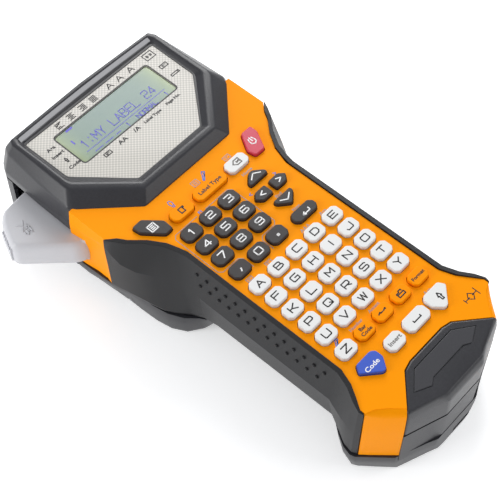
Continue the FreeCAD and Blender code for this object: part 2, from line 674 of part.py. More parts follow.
def mechanism():
    """Plate, gears, motor, platen and print head."""
    low = size("chassis_z")
    thick = size("chassis_thick")
    gear_low = size("gear_z")
    gear_high = gear_low + size("gear_thick")
    shaft = size("shaft_radius")
    fit = size("shaft_gap")
    idler = idler_place()
    pinion = pinion_place()
    plate = slab(11.0 - head_half, head_half - 11.5, -8.0, 53.5, low, low + thick)
    plate = plate.cut(rod(platen[0], platen[1], 0, FAR, shaft + fit))
    plate = plate.fuse(rod(idler[0], idler[1], low + thick, gear_high + 0.5, shaft))
    shape_part("chassis_plate", plate)
    shape_part("transfer_gear", rod(idler[0], idler[1], gear_low, gear_high, size("idler_radius"))
               .cut(rod(idler[0], idler[1], 0, FAR, shaft + fit)))
    motor = rod(pinion[0], pinion[1], gear_high + 1.0, panel_z - 8.5, size("motor_radius"))
    foot_y = size("motor_radius") - 3.0
    for sign in (1, -1):
        y0 = pinion[1] + sign * foot_y - 1.5
        motor = motor.fuse(slab(pinion[0] - 2, pinion[0] + 6, y0, y0 + 3.0, low + thick, gear_high + 2.0))
    motor = motor.cut(rod(pinion[0], pinion[1], 0, gear_high + 6.0, 1.0 + fit))
    shape_part("feed_motor", motor)
    shape_part("motor_pinion", rod(pinion[0], pinion[1], gear_low, gear_high, size("pinion_radius"))
               .fuse(rod(pinion[0], pinion[1], gear_high, gear_high + 5.0, 1.0)))
    roller = rod(platen[0], platen[1], 5.0, low - 1.0, size("platen_radius"))
    roller = roller.fuse(rod(platen[0], platen[1], low - 1.0, gear_low, shaft))
    shape_part("platen_roller", roller)
    shape_part("platen_gear", rod(platen[0], platen[1], gear_low, gear_high, size("platen_gear_radius")))
    head_y = platen[1] + size("platen_radius") + 0.4
    shape_part("print_head", slab(platen[0] - 4, platen[0] + 6, head_y, head_y + 1.2, 5.0, low - 1.0))


# ---------------------------------------------------------------- electronics
def jack_place():
    """Middle of the socket's mouth, on the tail's right rear facet."""
    return (tail_half - 24.5, tail_back + 5.3, 22.0)


def jack_block(grow=0.0, out=0.0):
    """Power socket block, square to the tail's right rear facet."""
    half = size("jack_half") + grow
    long = size("jack_long") + grow
    return turn_to_tail(Part.makeBox(2 * half, long + out, 2 * half, V(-half, -long, -half)))


def jack_opening():
    """Room for the socket's block, right through the tail's wall."""
    return jack_block(gap, 10.0)


def turn_to_tail(shape):
    """Face a shape's +Y out of the tail's right rear facet and put it at the jack's place."""
    turned = shape.copy()
    turned.rotate(V(0, 0, 0), V(0, 0, 1), -size("jack_turn"))
    turned.translate(V(*jack_place()))
    return turned


def electronics():
    board_top = panel_z - wall - size("key_root") - size("key_travel") - 0.4 - size("mat_thick")
    keep(box_part("mat", "-31.5", "sizes.keypad_y - 51", "sizes.panel_z - sizes.wall - sizes.key_root - "
                  "sizes.key_travel - 0.4 - sizes.mat_thick", "63", "138", "sizes.mat_thick"), "key_mat")
    keep(box_part("board", "-31.5", "sizes.keypad_y - 51", "%g - 0.2 - sizes.board_thick" % board_top,
                  "63", "140", "sizes.board_thick"), "main_board")
    keep(box_part("lcd", "-sizes.window_wide / 2 - sizes.lcd_border",
                  "sizes.window_y - sizes.window_deep / 2 - sizes.lcd_border",
                  "sizes.panel_z - 0.1 - sizes.lcd_thick", "sizes.window_wide + 2 * sizes.lcd_border",
                  "sizes.window_deep + 2 * sizes.lcd_border", "sizes.lcd_thick"), "lcd_module")
    bore = turn_to_tail(Part.makeCylinder(size("jack_bore"), size("jack_deep"), V(0, -size("jack_deep"), 0),
                                          V(0, 1, 0)))
    shape_part("power_jack", jack_block().cut(bore))
    port_x = head_half - wall - 1.0
    port = slab(port_x - size("port_deep"), port_x, 20.0, 32.0, 16.0, 22.0)
    shape_part("data_port", port.cut(slab(port_x - size("port_deep") + 2.0, port_x, 21.5, 30.5, 17.2, 20.8)))


def batteries():
    """Cells lying across the handle, in layers, between two contact strips."""
    radius = size("cell_radius")
    step = 2 * radius + size("cell_gap")
    long = size("cell_long")
    layers = int(size("cell_layers"))
    across = int(size("cells_per_layer"))
    low = floor_z + size("door_thick") + 0.5
    cells = []
    for layer in range(layers):
        for place in range(across):
            y = size("battery_y") + (place - (across - 1) / 2) * step
            z = low + radius + layer * step
            body = Part.makeCylinder(radius, long - 1.5, V(-long / 2, y, z), V(1, 0, 0))
            knob = Part.makeCylinder(2.6, 1.5, V(long / 2 - 1.5, y, z), V(1, 0, 0))
            cells.append(body.fuse(knob))
    shape_part("batteries", Part.Compound(cells))
    strips = []
    for side in (1, -1):
        edge = side * (long / 2 + 0.3)
        x0 = min(edge, edge + side * 0.5)
        for place in range(across):
            y = size("battery_y") + (place - (across - 1) / 2) * step
            strips.append(slab(x0, x0 + 0.5, y - 5, y + 5, low + 1, low + layers * step - 2))
    shape_part("battery_contacts", Part.Compound(strips))


front_shell()
head_bezel()
display_lens()
grips()
end_cap()
badge_plate()
rear_shell()
doors()
case_screws()
cutter_lever()
cutter_parts()
tape_cassette()
mechanism()
electronics()
batteries()
for key in KEYS:
    key_row(*key)

doc.recompute()
for feature in doc.Objects:
    if "Invalid" in feature.State or "Error" in feature.State:
        raise RuntimeError("failed: %s %s" % (feature.Label, feature.State))
os.makedirs("parts", exist_ok=True)
for feature in parts:
    shape = feature.Shape
    if shape.isNull() or not shape.isValid() or not shape.Solids:
        raise RuntimeError("bad shape: " + feature.Label)
    shape.exportStep("parts/%s.step" % feature.Label)
    box = shape.BoundBox
    print("%-18s %2d solids  volume %9.1f  x %6.1f %6.1f  y %7.1f %7.1f  z %5.1f %5.1f" % (
        feature.Label, len(shape.Solids), shape.Volume, box.XMin, box.XMax,
        box.YMin, box.YMax, box.ZMin, box.ZMax))
print("parts:", len(parts))
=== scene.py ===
"""Looks of a handheld label maker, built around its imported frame.

Every length in the classes is in millimetres; MM turns it into the frame's metres.
"""
import logging
import math
from dataclasses import dataclass, field
from enum import Enum

import bmesh
import bpy
from mathutils import Matrix, Vector


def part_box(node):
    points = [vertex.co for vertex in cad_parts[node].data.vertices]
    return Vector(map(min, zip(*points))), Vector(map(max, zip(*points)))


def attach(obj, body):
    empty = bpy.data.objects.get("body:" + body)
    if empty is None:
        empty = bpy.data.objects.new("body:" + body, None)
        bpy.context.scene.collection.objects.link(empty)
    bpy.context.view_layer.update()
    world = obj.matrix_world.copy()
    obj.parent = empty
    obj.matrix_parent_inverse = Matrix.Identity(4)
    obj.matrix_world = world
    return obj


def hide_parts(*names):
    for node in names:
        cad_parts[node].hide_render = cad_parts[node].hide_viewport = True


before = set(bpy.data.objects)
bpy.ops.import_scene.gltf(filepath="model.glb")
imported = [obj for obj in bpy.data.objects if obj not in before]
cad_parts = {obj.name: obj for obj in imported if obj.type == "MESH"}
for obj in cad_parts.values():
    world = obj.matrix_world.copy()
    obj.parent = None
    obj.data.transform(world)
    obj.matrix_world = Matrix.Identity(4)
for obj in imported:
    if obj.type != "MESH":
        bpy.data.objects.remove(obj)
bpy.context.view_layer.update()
MM = 0.001
LOG = logging.getLogger("label_maker")

Point = tuple[float, float]
Place = tuple[float, float, float]
Outline = list[Point]
Profile = list[Point]
Colour = tuple[float, float, float, float]


def srgb(red: int, green: int, blue: int) -> Colour:
    """Turn a display colour into the renderer's linear one.

    Args:
        red: red part, 0 to 255.
        green: green part.
        blue: blue part.

    Returns:
        Linear red, green, blue and alpha.
    """
    def linear(value: int) -> float:
        """One part, from 0 to 1."""
        share = value / 255
        return share / 12.92 if share <= 0.04045 else ((share + 0.055) / 1.055) ** 2.4
    return linear(red), linear(green), linear(blue), 1.0


# ------------------------------------------------------------------ shader tools
class Signal:
    """A node's output socket that can be used in Python expressions."""

    def __init__(self, board: "NodeBoard", socket: bpy.types.NodeSocket) -> None:
        """Args: board: the node tree it belongs to. socket: the output."""
        self.board = board
        self.socket = socket

    def _math(self, operation: str, *values: "Signal | float") -> "Signal":
        """Add a Math node on these values."""
        node = self.board.node("ShaderNodeMath", {"operation": operation}, dict(enumerate(values)))
        return self.board.signal(node)

    def __add__(self, other: "Signal | float") -> "Signal":
        """Sum."""
        return self._math("ADD", self, other)

    __radd__ = __add__

    def __sub__(self, other: "Signal | float") -> "Signal":
        """Difference."""
        return self._math("SUBTRACT", self, other)

    def __rsub__(self, other: float) -> "Signal":
        """Difference from a number."""
        return self._math("SUBTRACT", other, self)

    def __mul__(self, other: "Signal | float") -> "Signal":
        """Product."""
        return self._math("MULTIPLY", self, other)

    __rmul__ = __mul__

    def __truediv__(self, other: "Signal | float") -> "Signal":
        """Quotient."""
        return self._math("DIVIDE", self, other)

    def __gt__(self, other: "Signal | float") -> "Signal":
        """1 where greater, else 0."""
        return self._math("GREATER_THAN", self, other)

    def apply(self, operation: str, *values: "Signal | float") -> "Signal":
        """Any other Math operation, such as SINE or PINGPONG."""
        return self._math(operation, self, *values)


class NodeBoard:
    """One material's node tree with a Principled shader."""

    def __init__(self, name: str) -> None:
        """Args: name: the material's name."""
        self.material = bpy.data.materials.new(name)
        self.material.use_nodes = True
        self.tree = self.material.node_tree
        self.tree.nodes.clear()
        self.shader = self.tree.nodes.new("ShaderNodeBsdfPrincipled")
        output = self.tree.nodes.new("ShaderNodeOutputMaterial")
        self.tree.links.new(self.shader.outputs["BSDF"], output.inputs["Surface"])

    def node(self, kind: str, settings: dict | None = None,
             inputs: dict | None = None) -> bpy.types.Node:
        """Add a node.

        Args:
            kind: the node's type.
            settings: properties, which are set first.
            inputs: values or Signals by socket name or number.

        Returns:
            The new node.
        """
        node = self.tree.nodes.new(kind)
        for key, value in (settings or {}).items():
            setattr(node, key, value)
        for key, value in (inputs or {}).items():
            self.feed(node.inputs[key], value)
        return node

    def feed(self, socket: bpy.types.NodeSocket, value: object) -> None:
        """Link a Signal to a socket, or set its value.

        Args:
            socket: the input.
            value: a Signal, a number, a colour or a vector.
        """
        if isinstance(value, Signal):
            self.tree.links.new(value.socket, socket)
        else:
            socket.default_value = value

    def signal(self, node: bpy.types.Node, output: str | int = 0) -> Signal:
        """One output of a node."""
        return Signal(self, node.outputs[output])

    def place(self) -> Signal:
        """The surface point in the row frame, in metres."""
        return self.signal(self.node("ShaderNodeTexCoord"), "Object")

    def axes(self) -> tuple[Signal, Signal, Signal]:
        """The surface point's x, y and z."""
        split = self.node("ShaderNodeSeparateXYZ", None, {"Vector": self.place()})
        return self.signal(split, "X"), self.signal(split, "Y"), self.signal(split, "Z")

    def noise(self, size_mm: float, detail: float = 2.0, stretch: tuple | None = None) -> Signal:
        """Add noise.

        Args:
            size_mm: about how wide its blobs are.
            detail: how many finer layers it has.
            stretch: scale along each axis before the noise; small draws it out.

        Returns:
            A value from 0 to 1.
        """
        vector = self.place()
        if stretch:
            mapping = self.node("ShaderNodeMapping", None, {"Vector": vector, "Scale": stretch})
            vector = self.signal(mapping)
        node = self.node("ShaderNodeTexNoise", None,
                         {"Vector": vector, "Scale": 1.0 / (size_mm * MM), "Detail": detail})
        return self.signal(node, "Fac")

    def mix(self, factor: "Signal | float", low: object, high: object) -> Signal:
        """Blend two colours by a factor from 0 to 1."""
        node = self.node("ShaderNodeMix", {"data_type": "RGBA"}, {"Factor": factor, 6: low, 7: high})
        return self.signal(node, 2)

    def spread(self, value: Signal, low: float, high: float) -> Signal:
        """Turn 0 to 1 into low to high."""
        return value * (high - low) + low

    def bump(self, height: Signal, depth_mm: float) -> None:
        """Feed a height into the shader's normal.

        Args:
            height: the height, from 0 to 1.
            depth_mm: how deep it is.
        """
        inputs = {"Height": height, "Distance": depth_mm * MM, "Strength": 1.0}
        node = self.node("ShaderNodeBump", None, inputs)
        self.feed(self.shader.inputs["Normal"], self.signal(node))

    def set(self, **values: object) -> None:
        """Set or link the shader's sockets; an underscore stands for a space."""
        for key, value in values.items():
            self.feed(self.shader.inputs[key.replace("_", " ")], value)


def scaled(colour: Colour, share: float) -> Colour:
    """A colour made lighter or darker."""
    return tuple(min(1.0, part * share) for part in colour[:3]) + (1.0,)


@dataclass(frozen=True)
class Moulded:
    """Injection-moulded plastic or rubber with a fine grain."""

    name: str
    colour: Colour
    roughness: float = 0.45
    grain_mm: float = 0.45
    grain_depth: float = 0.03
    speck: float = 0.12
    specular: float = 0.5
    cloud_mm: float = 26.0
    sheen_range: float = 0.07

    def build(self) -> bpy.types.Material:
        """Make the material.

        Returns:
            The material, with its nodes.
        """
        board = NodeBoard(self.name)
        cloud = board.noise(self.cloud_mm, 3.0)
        grain = board.noise(self.grain_mm, 2.0)
        fleck = board.noise(self.grain_mm * 1.9, 1.0)
        tone = cloud * 0.4 + fleck * 0.6
        low = scaled(self.colour, 1.0 - self.speck)
        high = scaled(self.colour, 1.0 + self.speck)
        sheen = board.spread(cloud * 0.5 + grain * 0.5, self.roughness - self.sheen_range,
                             self.roughness + self.sheen_range)
        board.set(Base_Color=board.mix(tone, low, high), Roughness=sheen,
                  Specular_IOR_Level=self.specular)
        board.bump(grain, self.grain_depth)
        return board.material


@dataclass(frozen=True)
class WovenPrint:
    """Grey sheet printed with a fine diagonal basket weave, under a clear gloss layer."""

    name: str = "woven_print"
    light: Colour = srgb(204, 200, 192)
    dark: Colour = srgb(150, 147, 140)
    pitch_mm: float = 2.1

    def build(self) -> bpy.types.Material:
        """Make the material.

        Returns:
            The material, with its nodes.
        """
        board = NodeBoard(self.name)
        x, y, _ = board.axes()
        step = 1.0 / (self.pitch_mm * MM)
        first = ((x + y) * step).apply("FRACT")
        second = ((x - y) * step).apply("FRACT")
        rib_a = ((first - 0.5).apply("ABSOLUTE")) * 2.0
        rib_b = ((second - 0.5).apply("ABSOLUTE")) * 2.0
        crossing = rib_a * rib_b
        shade = (rib_a + rib_b) * 0.5 + crossing * 0.5
        fleck = board.noise(0.5, 2.0)
        level = (shade * 0.85 + fleck * 0.25).apply("MINIMUM", 1.0)
        board.set(Base_Color=board.mix(level, self.dark, self.light), Roughness=0.42, Coat_Weight=0.2,
                  Coat_Roughness=0.06)
        board.bump(shade, 0.02)
        return board.material


@dataclass(frozen=True)
class LiquidCrystal:
    """Unlit display glass: grey-green in the middle, yellower at its two ends."""

    name: str = "liquid_crystal"
    middle: Colour = srgb(98, 124, 118)
    ends: Colour = srgb(140, 156, 112)
    half_mm: float = 32.0
    dot_mm: float = 0.55
    dot_gap: float = 0.1

    def build(self) -> bpy.types.Material:
        """Make the material.

        Returns:
            The material, with its nodes.
        """
        board = NodeBoard(self.name)
        x, y, _ = board.axes()
        edge = (x.apply("ABSOLUTE") / (self.half_mm * MM)).apply("POWER", 6.0)
        haze = board.noise(9.0, 2.0)
        level = (edge * 0.9 + haze * 0.15).apply("MINIMUM", 1.0)
        step = 1.0 / (self.dot_mm * MM)
        dots = ((x * step).apply("FRACT") > self.dot_gap) * ((y * step).apply("FRACT") > self.dot_gap)
        colour = board.mix(level, self.middle, self.ends)
        dimmer = board.mix(level, scaled(self.middle, 0.93), scaled(self.ends, 0.93))
        board.set(Base_Color=board.mix(dots, dimmer, colour), Roughness=0.22, Coat_Weight=0.15,
                  Coat_Roughness=0.04)
        return board.material


@dataclass(frozen=True)
class Ink:
    """Printed legend: dense ink with slightly uneven cover."""

    name: str
    colour: Colour
    roughness: float = 0.5

    def build(self) -> bpy.types.Material:
        """Make the material.

        Returns:
            The material, with its nodes.
        """
        board = NodeBoard(self.name)
        cover = board.noise(0.3, 2.0)
        board.set(Base_Color=board.mix(cover, scaled(self.colour, 0.9), scaled(self.colour, 1.1)),
                  Roughness=self.roughness)
        return board.material


@dataclass(frozen=True)
class Metal:
    """Drawn or plated metal with fine lines along one axis."""

    name: str
    colour: Colour
    roughness: float = 0.3

    def build(self) -> bpy.types.Material:
        """Make the material.

        Returns:
            The material, with its nodes.
        """
        board = NodeBoard(self.name)
        lines = board.noise(0.8, 3.0, (1.0, 0.04, 1.0))
        board.set(Base_Color=board.mix(lines, scaled(self.colour, 0.85), self.colour), Metallic=1.0,
                  Roughness=board.spread(lines, self.roughness - 0.08, self.roughness + 0.12))
        board.bump(lines, 0.01)
        return board.material


class Finish(Enum):
    """Every finish on the machine."""

    ORANGE = Moulded("orange_plastic", srgb(250, 150, 0), 0.45, 0.5, 0.02, 0.04, specular=0.06)
    DARK = Moulded("dark_plastic", srgb(46, 46, 50), 0.34, 0.5, 0.05, 0.4, specular=0.42)
    DARK_LOW = Moulded("dark_plastic_lower", srgb(42, 42, 46), 0.38, 0.42, 0.035, 0.2, specular=0.4)
    BLACK = Moulded("black_plastic", srgb(34, 34, 37), 0.4, 0.5, 0.02, 0.1)
    GRIP = Moulded("soft_grip", srgb(29, 29, 31), 0.45, 0.38, 0.04, 0.2, specular=0.32)
    BADGE = Moulded("badge_plastic", srgb(56, 56, 60), 0.5, 0.4, 0.03, 0.12, specular=0.3)
    WHITE_KEY = Moulded("white_key", srgb(226, 226, 225), 0.5, 0.6, 0.012, 0.02, specular=0.2)
    DARK_KEY = Moulded("dark_key", srgb(56, 53, 53), 0.45, 0.6, 0.012, 0.08, specular=0.3)
    ORANGE_KEY = Moulded("orange_key", srgb(246, 146, 0), 0.45, 0.6, 0.012, 0.04, specular=0.06)
    RED_KEY = Moulded("red_key", srgb(196, 48, 74), 0.42, 0.6, 0.012, 0.05)
    BLUE_KEY = Moulded("blue_key", srgb(48, 84, 190), 0.42, 0.6, 0.012, 0.05)
    LEVER = Moulded("lever_plastic", srgb(196, 196, 200), 0.4, 0.6, 0.015, 0.03)
    GEAR = Moulded("gear_plastic", srgb(226, 224, 214), 0.45, 0.8, 0.01, 0.03)
    # light grey glossy plastic for the painted highlight along the hood's inner back slope
    STRIP = Moulded("painted_highlight_plastic", srgb(178, 178, 180), 0.25, 0.6, 0.01, 0.08)
    CERAMIC = Moulded("glazed_ceramic", srgb(222, 214, 196), 0.2, 1.5, 0.005, 0.04)
    BOARD = Moulded("circuit_board", srgb(30, 96, 52), 0.35, 2.5, 0.02, 0.25)
    CELL = Moulded("cell_jacket", srgb(70, 76, 90), 0.25, 3.0, 0.005, 0.1)
    TAPE = Moulded("label_tape", srgb(240, 240, 236), 0.45, 0.25, 0.02, 0.03)
    STEEL = Metal("bright_steel", srgb(198, 200, 204))
    LENS = WovenPrint()
    GLASS = LiquidCrystal()
    DARK_INK = Ink("dark_ink", srgb(30, 28, 28))
    GREY_INK = Ink("grey_ink", srgb(112, 108, 104))
    WHITE_INK = Ink("white_ink", srgb(240, 240, 240))
    HINT_INK = Ink("hint_ink", srgb(92, 132, 214))
    MAUVE_INK = Ink("mauve_ink", srgb(176, 150, 140))
    SEGMENT = Ink("lcd_segment", srgb(74, 66, 190), 0.3)


class Paintbox:
    """Builds each finish once and hands it out."""

    def __init__(self) -> None:
        """Start with nothing built."""
        self.built: dict[Finish, bpy.types.Material] = {}

    def get(self, finish: Finish) -> bpy.types.Material:
        """Hand out a material, and build it the first time.

        Args:
            finish: the finish.

        Returns:
            Its material.
        """
        if finish not in self.built:
            self.built[finish] = finish.value.build()
        return self.built[finish]

    def dress(self, piece: bpy.types.Object, finish: Finish) -> None:
        """Give a piece one finish all over."""
        piece.data.materials.clear()
        piece.data.materials.append(self.get(finish))


PAINT = Paintbox()


# ------------------------------------------------------------------ mesh tools
def linked(name: str, data: bpy.types.ID) -> bpy.types.Object:
    """Put a mesh, a light or a camera into the scene.

    Args:
        name: the new object's name.
        data: what it shows.

    Returns:
        The new object.
    """
    thing = bpy.data.objects.new(name, data)
    bpy.context.scene.collection.objects.link(thing)
    return thing


def finish_piece(name: str, mesh: bpy.types.Mesh, finish: Finish, body: str,
                 replaces: tuple[str, ...] = ()) -> bpy.types.Object:
    """Make a mesh into a named piece that rides on a body.

    Args:
        name: the piece's name.
        mesh: its mesh, in the row frame.
        finish: what it is made of.
        body: the body it moves with.
        replaces: CAD nodes that it stands for.

    Returns:
        The new object.
    """
    piece = linked(name, mesh)
    PAINT.dress(piece, finish)
    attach(piece, body)
    if replaces:
        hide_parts(*replaces)
    LOG.info("%s: %d faces on %s", name, len(mesh.polygons), body)
    return piece


def smooth(mesh: bpy.types.Mesh, angle: float = 32.0) -> bpy.types.Mesh:
    """Shade a mesh smooth.

    Args:
        mesh: the mesh.
        angle: edges sharper than this, in degrees, stay sharp.

    Returns:
        The same mesh.
    """
    mesh.shade_smooth()
    mesh.set_sharp_from_angle(angle=math.radians(angle))
    return mesh


def baked(piece: bpy.types.Object) -> bpy.types.Mesh:
    """Apply a piece's modifiers and remove the piece.

    Args:
        piece: an object in the scene.

    Returns:
        Its finished mesh.
    """
    graph = bpy.context.evaluated_depsgraph_get()
    mesh = bpy.data.meshes.new_from_object(piece.evaluated_get(graph))
    mesh.name = piece.name
    bpy.data.objects.remove(piece)
    return mesh


SHARPEST = 0.35  # keeps a corner's point from running far off when its sides move


def inset(outline: Outline, amount: float) -> Outline:
    """Move an outline's sides inwards.

    Args:
        outline: the plan.
        amount: how far each side moves; below zero moves it outwards.

    Returns:
        As many points as the plan has.
    """
    count = len(outline)
    area = sum(outline[i - 1][0] * outline[i][1] - outline[i][0] * outline[i - 1][1] for i in range(count))
    turn = 1.0 if area > 0 else -1.0
    moved = []
    for index in range(count):
        before, here, after = (Vector(outline[(index + k) % count]) for k in (-1, 0, 1))
        first = (here - before).normalized()
        second = (after - here).normalized()
        normal_a = Vector((-first.y, first.x)) * turn
        normal_b = Vector((-second.y, second.x)) * turn
        middle = (normal_a + normal_b).normalized()
        reach = amount / max(SHARPEST, middle.dot(normal_a))
        moved.append(tuple(here + middle * reach))
    return moved


def rounded(outline: Outline, radius: float, steps: int = 4) -> Outline:
    """Round every corner of an outline.

    Args:
        outline: the plan.
        radius: how far each rounding reaches along a side, if the side is long enough.
        steps: pieces in each rounding.

    Returns:
        The longer outline.
    """
    count = len(outline)
    points: Outline = []
    for index in range(count):
        before, here, after = (Vector(outline[(index + k) % count]) for k in (-1, 0, 1))
        into = before - here
        out = after - here
        reach = min(radius, 0.45 * into.length, 0.45 * out.length)
        start = here + into.normalized() * reach
        end = here + out.normalized() * reach
        for step in range(steps + 1):
            t = step / steps
            points.append(tuple(start * (1 - t) ** 2 + here * 2 * t * (1 - t) + end * t ** 2))
    return points


def mirrored(right: Outline) -> Outline:
    """A right half joined to its mirror image."""
    return right + [(-x, y) for x, y in reversed(right)]


def oblong(left: float, front: float, right: float, back: float) -> Outline:
    """A rectangle between two x and two y values."""
    return [(left, front), (right, front), (right, back), (left, back)]


def quads(bm: bmesh.types.BMesh, low: list, high: list) -> None:
    """Add the faces between two rings of as many points.

    Args:
        bm: the mesh under construction.
        low: one ring's corners.
        high: the next ring's corners.
    """
    count = len(low)
    for index in range(count):
        after = (index + 1) % count
        bm.faces.new((low[index], low[after], high[after], high[index]))


def outward(bm: bmesh.types.BMesh) -> bmesh.types.BMesh:
    """Turn every face of a closed solid outwards.

    Args:
        bm: the solid, under construction.

    Returns:
        The same solid.
    """
    bmesh.ops.recalc_face_normals(bm, faces=bm.faces)
    if bm.calc_volume(signed=True) < 0:
        bmesh.ops.reverse_faces(bm, faces=bm.faces)
    return bm


def puck(outline: Outline, profile: Profile, centre: Point = (0.0, 0.0)) -> bmesh.types.BMesh:
    """A closed solid over a plan outline.

    Args:
        outline: the plan, in millimetres.
        profile: (inset, height) of each ring from the bottom to the top.
        centre: where the plan's origin goes.

    Returns:
        The mesh under construction, in metres.
    """
    bm = bmesh.new()
    rings = []
    for amount, height in profile:
        ring = inset(outline, amount) if amount else outline
        rings.append([bm.verts.new(((x + centre[0]) * MM, (y + centre[1]) * MM, height * MM))
                      for x, y in ring])
    bm.faces.new(list(reversed(rings[0])))
    bm.faces.new(rings[-1])
    for low, high in zip(rings, rings[1:]):
        quads(bm, low, high)
    return outward(bm)


def slab(outline: Outline, low: float, high: float, centre: Point = (0.0, 0.0)) -> bmesh.types.BMesh:
    """A solid with upright walls between two heights."""
    return puck(outline, [(0.0, low), (0.0, high)], centre)


def gathered(pieces: list[bmesh.types.BMesh]) -> bmesh.types.BMesh:
    """Put several meshes under construction side by side into one.

    Args:
        pieces: the meshes, which are used up.

    Returns:
        The one that holds them all.
    """
    whole = bmesh.new()
    for piece in pieces:
        part = bpy.data.meshes.new("part")
        piece.to_mesh(part)
        piece.free()
        whole.from_mesh(part)
        bpy.data.meshes.remove(part)
    return whole


def closed_up(bm: bmesh.types.BMesh, name: str) -> bpy.types.Mesh:
    """Turn a mesh under construction into a mesh.

    Args:
        bm: the mesh under construction, which is used up.
        name: the mesh's name.

    Returns:
        The mesh.
    """
    mesh = bpy.data.meshes.new(name)
    bm.to_mesh(mesh)
    bm.free()
    return mesh


def reopened(mesh: bpy.types.Mesh) -> bmesh.types.BMesh:
    """Open a mesh for building again.

    Args:
        mesh: the mesh, which stays as it is.

    Returns:
        A copy of it, under construction.
    """
    bm = bmesh.new()
    bm.from_mesh(mesh)
    return bm


def low_high(node: str) -> tuple[Vector, Vector]:
    """A CAD node's lowest and highest corners, in millimetres."""
    low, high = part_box(node)
    return low / MM, high / MM


# ------------------------------------------------------------------ lettering
GRID = 8  # a glyph's points are column and row digits on a grid of eight steps
GLYPHS = {
    "A": "00 48 80,23 63", "B": "00 08 68 77 75 64 04,64 83 81 60 00", "C": "88 18 07 01 10 80",
    "D": "00 08 68 86 82 60 00", "E": "88 08 00 80,04 74", "F": "88 08 00,04 74",
    "G": "88 18 07 01 10 80 84 44", "H": "08 00,88 80,04 84", "I": "48 40", "J": "88 81 70 10 02",
    "K": "08 00,88 34 04,34 80", "L": "08 00 80", "M": "00 08 43 88 80", "N": "00 08 80 88",
    "O": "10 01 07 18 78 87 81 70 10", "P": "00 08 78 87 84 73 03",
    "Q": "10 01 07 18 78 87 81 70 10,53 80", "R": "00 08 78 87 84 73 03,43 80",
    "S": "87 78 18 07 05 14 74 83 81 70 10 01", "T": "08 88,48 40", "U": "08 01 10 70 81 88",
    "V": "08 40 88", "W": "08 20 48 60 88", "X": "08 80,00 88", "Y": "08 44 88,44 40",
    "Z": "08 88 00 80", "0": "10 01 07 18 78 87 81 70 10", "1": "26 48 40",
    "2": "07 18 78 87 85 74 14 03 00 80", "3": "08 78 87 85 74 34,74 83 81 70 00",
    "4": "60 68 02 82", "5": "88 08 04 74 83 81 70 00", "6": "87 78 18 07 01 10 70 81 83 74 04",
    "7": "08 88 30", "8": "14 05 07 18 78 87 85 74 14 03 01 10 70 81 83 74",
    "9": "01 10 70 81 87 78 18 07 05 14 84", ".": "33 53 51 31 33", ",": "43 53 30", ":": "46 47,41 42",
    " ": "",
    "^": "02 47 82", "v": "07 42 87", "<": "62 24 66", ">": "22 64 26",
    "enter": "84 81 11,33 11 30", "space": "04 02 82 84", "shift": "24 48 64 54 50 30 34 24",
    "power": "28 15 12 40 72 75 68,49 44", "page": "08 88 80 00 08,26 66,24 64,22 62",
    "cut": "18 10 70 78 18,75 98,98 88,98 96", "delete": "04 38 88 80 30 04,45 73,43 75",
    "file": "00 06 36 48 78 76,00 80 84 14", "lamp": "32 30 50 52,25 38 58 65 52 32 25",
    "polarity": "04 34,54 84,64 55 46 35 24 33 42 53 64,03 05,82 86", "stars": "04 26 24 44,54 76 74",
    "left_lines": "08 88,06 56,04 88,02 52,00 80", "mid_lines": "08 88,26 66,04 84,22 62,00 80",
    "right_lines": "08 88,36 86,04 84,32 82,00 80", "full_lines": "08 88,06 86,04 84,02 82,00 80",
    "battery": "16 76 73 13 16,76 86 83 73", "card": "07 87 81 01 07,25 45,23 43,55 65",
    "tape": "00 08 88 80 00,23 25 35 33 23,53 55 65 63 53",
    "wrench": "01 10 65 76 87 78 67 65 54 43,11 66,47 58 69 78,46 35 01",
    "scissors": "24 68,54 18,24 13 11 20 31 33 24,54 65 63 50 41 43 54",
}


